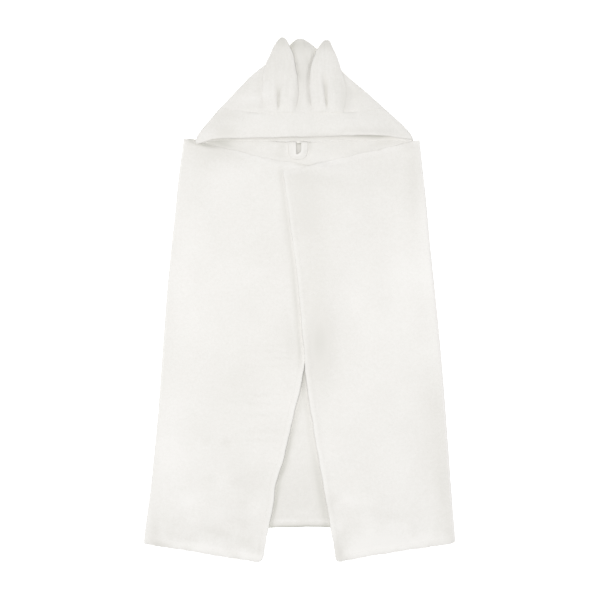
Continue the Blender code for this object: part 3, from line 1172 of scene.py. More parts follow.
    def roll(self, side: Side, v: np.ndarray) -> Cloth:
        """The rolled cloth of a fold, from the front down to the back, ends left out.

        Args:
            side: which side it belongs to.
            v: its rows, as shares of its length.

        Returns:
            The cloth of the fold.
        """
        centre, radius = self.roll_centre(side, v)[:, None, :], self.radius(v)[:, None]
        angle = np.pi * (0.5 - np.arange(1, self.fold_count) / self.fold_count)[None, :]
        plan = centre - (radius * np.cos(angle))[..., None] * self.inward(side)
        plan[..., 1] += self.to_shoulder(plan[..., 0], v[:, None] * self.length)
        z = BACK_Z + radius * (1.0 + np.sin(angle))
        from_end = np.broadcast_to(np.minimum(v, 1.0 - v)[:, None] * self.length, z.shape)
        mottle_and_light = self.fold_nap + relief(PAINTED_LIGHT_AND_MOTTLE[Panel.ROLL], plan[..., 0], plan[..., 1])
        wall = CLOTH * rounded(from_end, HEM.edge, self.fold_end)
        return Cloth(plan[..., 0], plan[..., 1], z, wall, mottle_and_light)

    def back(self, v: np.ndarray, shares: np.ndarray) -> Cloth:
        """The back, its columns from the right fold to the left one.

        Args:
            v: its rows, as shares of its length.
            shares: its columns, as shares of its width.

        Returns:
            The cloth of the back.
        """
        right, left = self.roll_centre(RIGHT, v)[:, None, :], self.roll_centre(LEFT, v)[:, None, :]
        plan = mix(right, left, shares[None, :, None])
        x, y, down = plan[..., 0], plan[..., 1], v[:, None]
        drawn_up = self.hem_rise * (1.0 - (2.0 * shares[None, :] - 1.0) ** 2)
        y = y + drawn_up * down**2 + (self.neck_y(x) - self.shoulder_y) * (1.0 - down)
        from_hem, from_neck = (1.0 - down) * self.length + 0.0 * x, down * self.length + 0.0 * x
        shown = bump(x / self.shown_half)
        wall = (CLOTH + shown * HEM.added(from_hem)) * rounded(from_hem, HEM.edge)
        wall = wall - shown * self.back_dents.at(from_hem) * self.back_pucker.at(x[-1] + 0.0 * x)
        wall = wall - neck_groove(x, from_neck)
        rise = self.back_waves.at(x) * shown * fade(from_hem / self.wavy_depth)
        rise = rise + self.to_shoulder(x, from_neck)
        outside = (np.maximum(self.outside(side, x, y), 0.0) for side in (LEFT, RIGHT))
        mottle_and_light = relief(PAINTED_LIGHT_AND_MOTTLE[Panel.BACK], x, y) + SlitShade().at(*outside, y) + HoodShade().at(x, y)
        # painted light on the hem's ridge, and painted shade at its edge
        hem_ridge_light = (1.0 + self.back_hem_uneven.at(x)) * self.back_hem_nap.at(from_hem)
        edge_shade = sum(depth * bell(from_hem / reach) for depth, reach in self.back_edge_shades)
        mottle_and_light = mottle_and_light + (hem_ridge_light - edge_shade) * shown
        return Cloth(x, y + rise, wall / 2.0, wall, mottle_and_light)

    def fold(self) -> tuple[Cloth, Cloth, Cloth, Cloth]:
        """Folds the whole rectangle: right front, right fold, back, left fold, left front.

        Returns:
            The folded cloth, and its left front, right front and back for the stitching.
        """
        v = edge_steps(HEM_STEPS, self.length, self.row_step)
        shares = edge_steps(HEM_STEPS, self.front_width, self.front_step, both=False)
        right, left = self.front(RIGHT, v, shares), self.front(LEFT, v, shares)
        back = self.back(v, np.concatenate([np.linspace(*stretch) for stretch in self.back_columns]))
        folds = self.roll(RIGHT, v), self.roll(LEFT, v).turned()
        return right.joined(folds[0], back, folds[1], left.turned()), left, right, back

    def lay(self, terry: bpy.types.Material) -> tuple[bpy.types.Object, bpy.types.Object]:
        """Builds and dresses the towel and its stitches.

        Args:
            terry: the towel's material.

        Returns:
            The towel and the stitches.
        """
        folded, left, right, back = self.fold()
        cloth = dress(folded.make("towel"), terry, "terry", "towel_body")
        stitches = dress(hem_stitches(left, right, back), terry, "terry")
        return cloth, stitches


# ---- Hood and ears ----


HOOD_OUTLINE = Table(
    ("y", "left", "right"),
    (
        (0.2935, -0.1935, 0.2120),
        (0.2970, -0.1935, 0.2103),
        (0.3088, -0.1876, 0.2040),
        (0.3236, -0.1757, 0.1905),
        (0.3534, -0.1512, 0.1586),
        (0.3832, -0.1232, 0.1266),
        (0.4129, -0.0950, 0.0908),
        (0.4278, -0.0772, 0.0758),
        (0.4501, -0.0473, 0.0500),
        (0.4680, -0.0230, 0.0295),
        (0.4752, -0.0172, 0.0208),
        (0.4810, -0.0115, 0.0118),
        (0.4852, -0.0030, 0.0040),
    ),
)
PEAK_Y = HOOD_OUTLINE.ends("y")[1]

VALLEYS = Table(  # depth of the hood's folds beside the left ear and beside the right ear
    ("y", "left", "right"),
    (
        (0.3560, 0.0, 0.0004),
        (0.3640, 0.0008, 0.0014),
        (0.3740, 0.0010, 0.0016),
        (0.3880, 0.0006, 0.0018),
        (0.4000, 0.0004, 0.0028),
        (0.4090, 0.0012, 0.0032),
        (0.4200, 0.0024, 0.0034),
        (0.4420, 0.0025, 0.0038),
        (0.4620, 0.0028, 0.0038),
        (0.4860, 0.0032, 0.0034),
    ),
)

EAR_LEFT = Table(
    ("y", "left", "right"),
    (
        (0.3484, -0.0669, -0.0083),
        (0.3590, -0.0687, -0.0064),
        (0.3794, -0.0711, -0.0027),
        (0.3980, -0.0700, -0.0036),
        (0.4185, -0.0691, -0.0059),
        (0.4390, -0.0634, -0.0092),
        (0.4594, -0.0545, -0.0143),
        (0.4724, -0.0482, -0.0196),
        (0.4817, -0.0424, -0.0250),
        (0.4872, -0.0364, -0.0289),
    ),
)

EAR_RIGHT = Table(
    ("y", "left", "right"),
    (
        (0.3484, 0.0233, 0.0801),
        (0.3590, 0.0206, 0.0829),
        (0.3794, 0.0183, 0.0866),
        (0.3980, 0.0168, 0.0847),
        (0.4185, 0.0178, 0.0790),
        (0.4390, 0.0224, 0.0738),
        (0.4594, 0.0287, 0.0652),
        (0.4706, 0.0354, 0.0602),
        (0.4780, 0.0405, 0.0566),
        (0.4824, 0.0450, 0.0530),
    ),
)


@dataclass
class Hood:
    """The hood: a back layer on the towel's top edge, over it the crown and the band, and two ears."""

    towel: Towel
    base_y: float = 0.2970
    width: float = 0.40
    height: float = 0.19
    loft: float = 0.0100
    loft_at_peak: float = 0.35
    loft_power: float = 2.6
    seam_y: float = 0.3478
    seam_rise: float = 0.0094
    seam_sink: float = 0.0020
    seam_reach: float = 0.0045
    seam_wall: float = 0.0042
    seam_plain: float = 0.05
    seam_left: Crest = Crest(1.15, -0.086, 0.030)  # where the band's seam shows, beside the ears
    seam_right: Crest = Crest(0.92, 0.091, 0.026)
    crown_width: float = 0.24
    crown_ease: float = 0.022
    crown_uneven: Uneven = Uneven(0.0005, 0.017, 41)
    band_height: float = 0.046
    band_stand: float = 1.6  # power with which the front edge's lift dies away up the band
    band_wall: float = 0.0054
    band_ease: float = 0.026
    band_edge: Uneven = Uneven(0.0005, 0.016, 43)
    band_uneven: Uneven = Uneven(0.0006, 0.021, 42)
    back_round: float = 0.0022
    back_groove: float = 0.8  # share of the neck seam's groove that is in the hood's back
    front_round: float = 0.0036
    edge_round: float = 0.0020
    edge_ease: float = 0.02
    # painted light along the edges of the hood's pieces and ears, against their shaded rims
    edge_nap: Crest = Crest(0.7, 0.0, 0.004)
    valley_side: Onset = Onset(0.0008, 0.0080, 0.85)
    valley_floor: float = 0.35
    under_ear: Onset = Onset(-0.004, -0.016)
    under_rise: float = 0.3
    under_flat: float = 0.6
    # painted shade in the folds beside the ears, for each metre of their depth
    valley_nap: float = 180.0
    valley_centre: float = 0.0030
    valley_reach: float = 0.0046
    valley_from: Onset = Onset(-0.012, 0.006)
    # painted shade on the peak between the ears
    peak_nap: Onset = Onset(0.395, 0.03, 0.60)
    peak_from: Onset = Onset(-0.01, 0.01)
    # painted shade over the whole hood and its ears
    worn: float = -0.30

    def sides(self, y: np.ndarray) -> tuple[np.ndarray, np.ndarray]:
        """Left and right edges of the hood at heights y."""
        return HOOD_OUTLINE.read("left", y), HOOD_OUTLINE.read("right", y)

    def dome(self, x: np.ndarray, y: np.ndarray, wider: float = 0.0) -> np.ndarray:
        """Height of the middle of the front layer, which stands off the back as a low dome.

        Args:
            x: places across.
            y: places along.
            wider: how much further than the hood the dome reaches to each side.

        Returns:
            The height at each place.
        """
        left, right = self.sides(y)
        half = (right - left) / 2.0 + wider
        across = np.clip(np.abs(x - (left + right) / 2.0) / half, 0.0, 1.0)
        share = np.clip((y - self.base_y) / (PEAK_Y - self.base_y), 0.0, 1.0)
        return FRONT_Z + self.loft * mix(1.0, self.loft_at_peak, share) * (1.0 - across**self.loft_power)

    @staticmethod
    def _valleys(x: np.ndarray, y: np.ndarray) -> tuple[np.ndarray, np.ndarray]:
        """Finds the folds of the crown beside the ears.

        Args:
            x: places across.
            y: places along.

        Returns:
            Depth of the nearer fold, and the distance from its ear's inner edge, below 0 under the ear.
        """
        left, right = EAR_LEFT.read("right", y), EAR_RIGHT.read("left", y)
        on_left = x < (left + right) / 2.0
        depth = np.where(on_left, VALLEYS.read("left", y), VALLEYS.read("right", y))
        return depth, np.minimum(x - left, right - x)

    def between_ears(self, x: np.ndarray, y: np.ndarray) -> np.ndarray:
        """The rounded peak that comes up between the ears, and the deep folds beside it.

        Args:
            x: places across.
            y: places along.

        Returns:
            The height that they add at each place.
        """
        depth, inside = self._valleys(x, y)
        under = self.under_ear.at(inside)
        height = self.valley_side.at(inside) + self.under_rise * under - self.valley_floor
        return depth * height * (1.0 - self.under_flat * under)

    def valley_shade(self, x: np.ndarray, y: np.ndarray) -> np.ndarray:
        """Painted shade in the folds beside the ears, and on the peak between them.

        Args:
            x: places across.
            y: places along.

        Returns:
            The painted shade at each place.
        """
        depth, inside = self._valleys(x, y)
        fold = bell((inside - self.valley_centre) / self.valley_reach) * self.valley_from.at(inside)
        return -self.valley_nap * depth * fold - self.peak_nap.at(y) * self.peak_from.at(inside)

    def middle(self, x: np.ndarray, y: np.ndarray) -> np.ndarray:
        """Height of the middle of the front layer with its folds.

        Args:
            x: places across.
            y: places along.

        Returns:
            The height at each place.
        """
        left, right = self.sides(y)
        inner = ease(np.minimum(x - left, right - x) / self.edge_ease)
        return self.dome(x, y) + (relief(SHAPE[Panel.CROWN], x, y) + self.between_ears(x, y)) * inner

    def _sink(self, x: np.ndarray, from_seam: np.ndarray) -> np.ndarray:
        """Depth of the groove along the band's seam, which shows most beside the ears."""
        plain = self.seam_plain + np.maximum(self.seam_left.at(x), self.seam_right.at(x))
        return self.seam_sink * plain * bump(from_seam / self.seam_reach)

    def build_back(self) -> bpy.types.Object:
        """Lays the back layer, sewn to the towel's top edge.

        Returns:
            The layer.
        """
        seam = 0.00005  # what the seam leaves open
        first = (0.0, 0.0001, 0.0008, 0.0022, 0.0036, 0.005, 0.0064, 0.008, 0.010)
        t = edge_steps(first, self.height, step=0.005)[:, None]
        w = edge_steps(SIDE_STEPS, self.width, step=0.0030)[None, :]
        y = mix(self.towel.shoulder_y + seam, PEAK_Y, t) + 0.0 * w
        left, right = self.sides(y)
        x = mix(left, right, w)
        y = y + (self.towel.neck_y(x) - self.towel.shoulder_y) * (1.0 - t) ** 2
        edge = np.minimum(np.minimum(w, 1.0 - w) * (right - left), (1.0 - t) * self.height)
        wall = CLOTH * rounded(edge, self.back_round) - self.back_groove * neck_groove(x, t * self.height)
        return Cloth(x, y, wall / 2.0, wall, HoodShade().at(x, y)).make("hood_back_cloth")

    def build_crown(self) -> bpy.types.Object:
        """Lays the front layer from the band's seam to the peak.

        Returns:
            The crown.
        """
        start = self.seam_y + self.seam_rise
        tall = PEAK_Y - start
        t = edge_steps((0.0, 0.0006, 0.0016, 0.003), tall, step=0.0022)[:, None]
        w = edge_steps(SIDE_STEPS, self.crown_width, step=0.0017)[None, :]
        y = mix(start, PEAK_Y, t) + 0.0 * w
        left, right = self.sides(y)
        x = mix(left, right, w)
        y = y - self.seam_rise * (1.0 - t) ** 2 * (1.0 - (2.0 * w - 1.0) ** 4)
        from_seam = t * tall + 0.0 * x
        edge = np.minimum(np.minimum(w, 1.0 - w) * (right - left), (1.0 - t) * tall)
        wall = mix(self.seam_wall, CLOTH, ease(from_seam / self.crown_ease)) * rounded(edge, self.edge_round)
        z = self.middle(x, y) + (wall - CLOTH) / 2.0 - self._sink(x, from_seam)
        z = z + self.crown_uneven.at(x, y) * ease(edge / self.edge_ease)
        mottle_and_light = relief(PAINTED_LIGHT_AND_MOTTLE[Panel.CROWN], x, y) + self.valley_shade(x, y) + self.worn + self.edge_nap.at(edge)
        return Cloth(x, y, z, wall, mottle_and_light).make("hood_crown_cloth")

    def build_band(self) -> bpy.types.Object:
        """Lays the doubled band along the face opening.

        Returns:
            The band.
        """
        tall, side_y = self.band_height, self.seam_y + self.seam_rise
        t = edge_steps((0.0, 0.0005, 0.0015, 0.003, 0.005), tall, step=0.0020)[:, None]
        w = edge_steps(SIDE_STEPS, self.width, step=0.0022)[None, :]
        (first_x, last_x), (first_y, last_y) = HOOD_FRONT_EDGE.ends("x"), HOOD_FRONT_EDGE.ends("y")
        left = HOOD_OUTLINE.read("left", mix(first_y, side_y, t))
        right = HOOD_OUTLINE.read("right", mix(last_y, side_y, t))
        edge_x = mix(first_x, last_x, w)
        low = HOOD_FRONT_EDGE.read("y", edge_x) + self.band_edge.at(edge_x)
        x = mix(left, right, w)
        y = mix(low, self.seam_y + self.seam_rise * (2.0 * w - 1.0) ** 4, t)
        from_edge, from_seam = t * tall + 0.0 * x, (1.0 - t) * tall + 0.0 * x
        side = np.minimum(w, 1.0 - w) * (right - left)
        wall = mix(self.seam_wall, self.band_wall, ease(from_seam / self.band_ease))
        wall = wall * rounded(from_edge, self.front_round) * rounded(side, self.edge_round)
        z = self.middle(x, y) + (wall - CLOTH) / 2.0 - self._sink(x, from_seam)
        z = z + HOOD_FRONT_EDGE.read("lift", edge_x) * (1.0 - t) ** self.band_stand
        z = z + self.band_uneven.at(x, y) * ease(side / self.edge_ease)
        mottle_and_light = relief(PAINTED_LIGHT_AND_MOTTLE[Panel.BAND], x, y) + self.edge_nap.at(side) + self.worn
        return Cloth(x, y, z, wall, mottle_and_light).make("hood_band_cloth")

    def lay(self, terry: bpy.types.Material) -> list[bpy.types.Object]:
        """Builds and dresses the hood and its ears.

        Args:
            terry: their material.

        Returns:
            The pieces.
        """
        back = dress(self.build_back(), terry, "terry", "hood_back")
        crown = dress(self.build_crown(), terry, "terry", "hood_crown")
        band = dress(self.build_band(), terry, "terry", "hood_band")
        left = Ear("ear_left_cloth", self, EAR_LEFT, 1, pleat_x=(-0.0404, -0.0396), pleat_length=0.062)
        right = Ear("ear_right_cloth", self, EAR_RIGHT, -1, pleat_x=(0.0504, 0.0440), pleat_length=0.082)
        ears = []
        for ear, node in ((left, "ear_left"), (right, "ear_right")):
            ears.append(dress(ear.build(), terry, "terry", node))
        return [back, crown, band, *ears]


@dataclass
class Ear:
    """An ear: two plies sewn round and turned, pleated at the foot, its inner side rolled forward."""

    name: str
    hood: Hood
    outline: Table
    inner: int  # +1 where the inner edge is on the right, and -1 on the left
    pleat_x: tuple[float, float]  # at its foot and its head
    pleat_length: float
    width: float = 0.065
    foot_wall: float = 0.0020
    edge_wall: float = 0.0026
    full: float = 0.0062
    fullness: tuple[float, float] = (3.5, 0.8)  # powers that give the section its round shoulders
    tip_share: float = 0.72
    outer_share: float = 0.30
    outer: Onset = Onset(-1.0, 0.7)
    inner_lift: float = 0.0030
    foot_rise: float = 0.016
    pleat_wall: float = 0.0009
    pleat_depth: float = 0.80
    # painted shade in the pleat
    pleat_nap: float = 1.7
    pleat_shown: tuple[Onset, Onset] = (Onset(0.0, 0.18), Onset(0.50, 0.50))  # at shares of its length
    pleat_reach: tuple[float, float] = (0.0017, 0.0046)
    pleat_widens: float = 1.4
    opens: Onset = Onset(0.40, 0.25)  # at shares of the ear's height
    side_round: tuple[float, float] = (0.016, 0.013)  # near the foot, at the outer and the inner edge
    open_round: float = 0.0026
    tip_round: float = 0.0034
    least_wall: float = 0.12
    lift_across: Onset = Onset(0.05, 0.95)
    lift_up: Crest = Crest(1.0, 0.66, 0.60)
    overhang: float = 0.035  # how much wider than the hood it takes the dome to be, high up
    over_peak: Onset = Onset(0.385, 0.040)
    # painted shade over the ear's tip
    tip_nap: Crest = Crest(-0.75, 1.0, 0.17)
    # painted shade over the ear's upper part
    upper_nap: Onset = Onset(0.25, 0.4, -0.32)
    wave: Uneven = Uneven(0.0005, 0.013, 52)
    crumple: Uneven = Uneven(0.0004, 0.013, 51)
    creases: Uneven = Uneven(0.0004, 0.016, 53)
    crease_narrow: float = 3.0  # how much narrower than long its creases are
    streaks: Uneven = Uneven(0.20, 0.016, 54)
    streak_narrow: float = 9.0

    def build(self) -> bpy.types.Object:
        """Lays the ear on the crown.

        Returns:
            The ear.
        """
        base, tip = self.outline.ends("y")
        length = tip - base
        up = edge_steps((0.0, 0.0006, 0.0015, 0.003), length, step=0.0018)[:, None]
        w = edge_steps((0.0, 0.0005, 0.0015, 0.003, 0.005), self.width, step=0.0012)[None, :]
        y = mix(base, tip, up) + 0.0 * w
        left, right, wave = self.outline.read("left", y), self.outline.read("right", y), self.wave.at(y)
        x = mix(left + wave, right + wave, w)
        s = self.inner * (2.0 * w - 1.0)  # -1 at the outer edge, +1 at the inner one
        above, edge = up * length, np.minimum(w, 1.0 - w) * (right - left)
        opened = self.opens.at(up)
        in_pleat = self._in_pleat(x, above)
        body = self._body(s, up, above, opened)
        body = body - self.pleat_depth * (body - self.pleat_wall) * in_pleat
        soft = mix(mix(*self.side_round, ease(s + 0.5)), self.open_round, opened)
        wall = body * rounded(edge, soft, self.least_wall) * rounded((1.0 - up) * length, self.tip_round)
        raised = self.inner_lift * self.lift_across.at(s) * self.lift_up.at(up)
        lies = mix(self.hood.dome(x, y), self.hood.dome(x, y, self.overhang), self.over_peak.at(y))
        z = lies + CLOTH / 2.0 + GAP + wall / 2.0 + raised
        z = z + self.crumple.at(x, y) + self.creases.at(x * self.crease_narrow, y)
        mottle_and_light = relief(PAINTED_LIGHT_AND_MOTTLE[Panel.EAR], x, y) - self.pleat_nap * in_pleat + self.hood.edge_nap.at(edge) * opened
        mottle_and_light = mottle_and_light + self.hood.worn + self.tip_nap.at(up) + self.upper_nap.at(up)
        mottle_and_light = mottle_and_light + self.streaks.at(x * self.streak_narrow, y)
        return Cloth(x, y, z, wall, mottle_and_light).make(self.name)

    def _body(self, s: np.ndarray, up: np.ndarray, above: np.ndarray, opened: np.ndarray) -> np.ndarray:
        """Thickness of the two plies before the pleat and the seam draw them in.

        Args:
            s: places across, from -1 at the outer edge to +1 at the inner one.
            up: shares of the ear's height.
            above: heights above its foot.
            opened: 0 at the foot, and 1 where the ear has opened out.

        Returns:
            The thickness.
        """
        round_top = (1.0 - np.abs(s) ** self.fullness[0]) ** self.fullness[1]
        body = mix(self.edge_wall, self.full, round_top) * mix(1.0, self.tip_share, ease(up))
        body = body * mix(mix(self.outer_share, 1.0, self.outer.at(s)), 1.0, opened)
        return mix(self.foot_wall, body, ease(above / self.foot_rise))

    def _in_pleat(self, x: np.ndarray, above: np.ndarray) -> np.ndarray:
        """How far each place is in the pleat at the ear's foot, from 0 to 1.

        Args:
            x: places across.
            above: heights above the foot.

        Returns:
            The share.
        """
        along = above / self.pleat_length
        pleat_x = mix(*self.pleat_x, np.clip(along, 0.0, 1.0))
        reach = mix(*self.pleat_reach, np.clip(along * self.pleat_widens, 0.0, 1.0))
        return between(self.pleat_shown, along) * bell((x - pleat_x) / reach)


# ---- Hang loop ----


LOOP = Table(  # the tape's two edges at even steps along it, and how high it stands
    ("inner_x", "inner_y", "outer_x", "outer_y", "lift"),
    (
        (-0.0072, 0.2935, -0.0205, 0.2935, 0.0012),
        (-0.0070, 0.2880, -0.0212, 0.2872, 0.0030),
        (-0.0068, 0.2800, -0.0214, 0.2780, 0.0044),
        (-0.0068, 0.2725, -0.0206, 0.2690, 0.0050),
        (-0.0060, 0.2705, -0.0150, 0.2632, 0.0052),
        (-0.0036, 0.2716, -0.0052, 0.2614, 0.0052),
        (-0.0005, 0.2738, 0.0045, 0.2622, 0.0050),
        (0.0014, 0.2762, 0.0112, 0.2668, 0.0046),
        (0.0016, 0.2830, 0.0138, 0.2760, 0.0038),
        (0.0018, 0.2890, 0.0144, 0.2860, 0.0026),
        (0.0020, 0.2935, 0.0140, 0.2935, 0.0012),
    ),
)


@dataclass
class HangLoop:
    """A loop of soft tape, its two ends caught in the neck seam and its bend folded over."""

    width: float = 0.0125
    length: float = 0.063
    wall: float = 0.0022
    puff: float = 0.0008
    outer_lift: float = 0.12  # share of its lift that the outer edge has
    lift_across: Onset = Onset(0.0, 0.8)
    edge_round: float = 0.0010
    least_wall: float = 0.4
    rows: int = 81
    samples: int = 401
    window: int = 31  # of the samples, over which a corner is softened

    def build(self) -> bpy.types.Object:
        """Lays the tape down one leg, round the bend and up the other.

        Returns:
            The tape.
        """
        inner_x, inner_y, outer_x, outer_y, lift = (self._smooth(LOOP.column(name)) for name in LOOP.columns)
        w = edge_steps((0.0, 0.0005, 0.0012), self.width, step=0.0011)[None, :]
        x, y = mix(outer_x, inner_x, w), mix(outer_y, inner_y, w)
        lift = lift * mix(self.outer_lift, 1.0, self.lift_across.at(w))
        z = CLOTH + GAP + self.wall / 2.0 + lift + self.puff * (1.0 - (2.0 * w - 1.0) ** 2)
        edge = np.minimum(w, 1.0 - w) * self.width + 0.0 * x
        wall = self.wall * rounded(edge, self.edge_round, self.least_wall)
        return Cloth(x, y, z, wall, 0.0 * x).make("hang_loop_tape")

    def _smooth(self, values: np.ndarray) -> np.ndarray:
        """Values for the rows of the tape, with the corners between the table's rows softened.

        Args:
            values: a column of the table.

        Returns:
            A value for each row, as a column of the grid.
        """
        fine, kernel, half = np.linspace(0.0, 1.0, self.samples), np.hanning(self.window), self.window // 2
        read = np.interp(fine, np.linspace(0.0, 1.0, len(values)), values)
        before, after = 2 * read[0] - read[half:0:-1], 2 * read[-1] - read[-2 : -2 - half : -1]
        padded = np.concatenate([before, read, after])
        soft = np.convolve(padded, kernel / kernel.sum(), "valid")
        return np.interp(np.linspace(0.0, 1.0, self.rows), fine, soft)[:, None]

    def lay(self, tape: bpy.types.Material, towel: bpy.types.Object) -> bpy.types.Object:
        """Builds and dresses the loop.

        Args:
            tape: its material.
            towel: not used.

        Returns:
            The loop.
        """
        loop = dress(self.build(), tape, "tape", "hang_loop")
        return loop


# ---- Stitching ----


@dataclass
class Stitching:
    """Lock stitches in thread, joined in one piece."""

    pitch: float = 0.0034
    length: float = 0.0026
    thread: float = 0.00055
    flat: float = 0.8  # height of a stitch as a share of its width
    segments: int = 6
    rings: int = 4
    shown_half: float = 0.080  # of the back's hem, which is sewn as far as it shows
    middles: list[np.ndarray] = field(default_factory=list)
    heads: list[np.ndarray] = field(default_factory=list)

    def sew(self, cloth: Cloth, row: int | slice, column: int | slice | np.ndarray) -> None:
        """Adds the stitches along one line of a cloth's grid.

        Args:
            cloth: the cloth to sew.
            row: the grid row or rows.
            column: the grid column or columns.
        """
        line = np.stack([part[row, column] for part in (cloth.x, cloth.y, cloth.top())], axis=-1)
        steps = np.linalg.norm(np.diff(line, axis=0), axis=1)
        run = np.concatenate([[0.0], np.cumsum(steps)])
        at = np.arange(self.pitch, run[-1] - self.pitch, self.pitch)
        back, ahead = (
            np.stack([np.interp(at + shift, run, line[:, axis]) for axis in range(3)], axis=-1)
            for shift in (-self.length / 2.0, self.length / 2.0)
        )
        self.middles.append((back + ahead) / 2.0)
        self.heads.append((ahead - back) / 2.0)

    def make(self, name: str) -> bpy.types.Object:
        """Copies one stitch to every place.

        Args:
            name: the new object's name.

        Returns:
            All the stitches as one piece.
        """
        middle, head = np.concatenate(self.middles), np.concatenate(self.heads)
        bpy.ops.object.select_all(action="DESELECT")
        bpy.ops.mesh.primitive_uv_sphere_add(segments=self.segments, ring_count=self.rings, radius=1.0)
        piece = bpy.context.object
        piece.name = piece.data.name = name
        unit = np.array([vertex.co for vertex in piece.data.vertices])
        copies = piece.modifiers.new("copies", "ARRAY")
        copies.count = len(middle)
        copies.use_relative_offset = False
        bpy.ops.object.modifier_apply(modifier=copies.name)
        side = np.stack([-head[:, 1], head[:, 0], 0.0 * head[:, 0]], axis=-1)
        side *= self.thread / 2.0 / np.linalg.norm(side, axis=1)[:, None]
        up = np.array([0.0, 0.0, self.flat * self.thread / 2.0])
        places = middle[:, None, :] + unit[None, :, :1] * head[:, None, :]
        places = places + unit[None, :, 1:2] * side[:, None, :] + unit[None, :, 2:3] * up
        piece.data.vertices.foreach_set("co", places.astype(np.float32).ravel())
        piece.data.update()
        bpy.ops.object.shade_smooth()
        return piece


def hem_stitches(left: Cloth, right: Cloth, back: Cloth) -> bpy.types.Object:
    """Sews the towel's hems where they show.

    Args:
        left: the left front.
        right: the right front.
        back: the back, whose hem shows between them.

    Returns:
        The stitches.
    """
    line = HEM_STEPS.index(STITCH_LINE)
    stitching = Stitching()
    for front in (left, right):
        stitching.sew(front, slice(line, -1 - line), line)
        stitching.sew(front, -1 - line, slice(line, None))
        stitching.sew(front, line, slice(line, None))
    shown = np.flatnonzero(np.abs(back.x[-1 - line]) < stitching.shown_half)
    stitching.sew(back, -1 - line, shown)
    return stitching.make("hem_stitches")


# ---- Finishes ----


def operator(operation: str, swapped: bool = False) -> Callable[["Socket", "Socket | float"], "Socket"]:
    """A Python operator on shader values.

    Args:
        operation: what its Math node does.
        swapped: whether the other value comes first, as in 1 - mask.

    Returns:
        The operator.
    """

    def add_node(this: "Socket", other: "Socket | float") -> "Socket":
        """Adds the Math node."""
        pair = (other, this) if swapped else (this, other)
        return this.tree.add("ShaderNodeMath", {"operation": operation}, *pair)

    return add_node


class Socket:
    """A shader value that Python's operators can work on."""

    __add__, __radd__ = operator("ADD"), operator("ADD", swapped=True)
    __sub__, __rsub__ = operator("SUBTRACT"), operator("SUBTRACT", swapped=True)
    __mul__, __rmul__ = operator("MULTIPLY"), operator("MULTIPLY", swapped=True)

    def __init__(self, tree: "Shader", output: bpy.types.NodeSocket | None) -> None:
        """Wraps a node's output."""
        self.tree = tree
        self.output = output


class Shader:
    """A material's node tree, built by adding nodes in order."""

    def __init__(self, name: str) -> None:
        """Starts an empty material.

        Args:
            name: the material's name.
        """
        self.material = bpy.data.materials.new(name)
        self.material.use_nodes = True
        self.nodes = self.material.node_tree.nodes
        self.links = self.material.node_tree.links
        self.nodes.clear()

    def add(
        self,
        kind: str,
        settings: dict[str, str] | None = None,
        *values: Socket | Colour | float,
        output: str = "",
        **named: Socket | Colour | float,
    ) -> Socket:
        """Adds a node.

        Args:
            kind: the node's type.
            settings: its own settings, which are set first.
            values: values or links of its first sockets that are in use, in order.
            output: name of the output that is read, or nothing for the first that is in use.
            named: values or links of sockets by name, with _ for a space.

        Returns:
            The node's output.
        """
        node = self.nodes.new(kind)
        for key, value in (settings or {}).items():
            setattr(node, key, value)
        given = list(zip([socket for socket in node.inputs if socket.enabled], values))
        given += [(node.inputs[key.replace("_", " ")], value) for key, value in named.items()]
        for socket, value in given:
            if isinstance(value, Socket):
                self.links.new(value.output, socket)
            else:
                socket.default_value = value
        in_use = [socket for socket in node.outputs if socket.enabled and output in ("", socket.name)]
        return Socket(self, in_use[0] if in_use else None)

    def place(self) -> Socket:
        """The place on the piece, in metres."""
        return self.add("ShaderNodeTexCoord", output="Object")

    def painted(self, name: str) -> Socket:
        """A value kept on the piece's own points."""
        return self.add("ShaderNodeAttribute", {"attribute_name": name}, output="Fac")

    def noise(self, place: Socket, scale: float, detail: float = 2.0) -> Socket:
        """Smooth noise, scale waves to the metre."""
        return self.add("ShaderNodeTexNoise", Vector=place, Scale=scale, Detail=detail)

    def clamped(self, value: Socket) -> Socket:
        """A value held between 0 and 1."""
        return self.add("ShaderNodeClamp", None, value)

    def blend(self, factor: Socket, first: Socket | Colour, second: Socket | Colour) -> Socket:
        """Mixes two colours."""
        return self.add("ShaderNodeMix", {"data_type": "RGBA"}, factor, first, second)

    def finish(self, surface: Socket) -> bpy.types.Material:
        """Links the surface to the output and returns the material."""
        self.add("ShaderNodeOutputMaterial", None, surface)
        return self.material


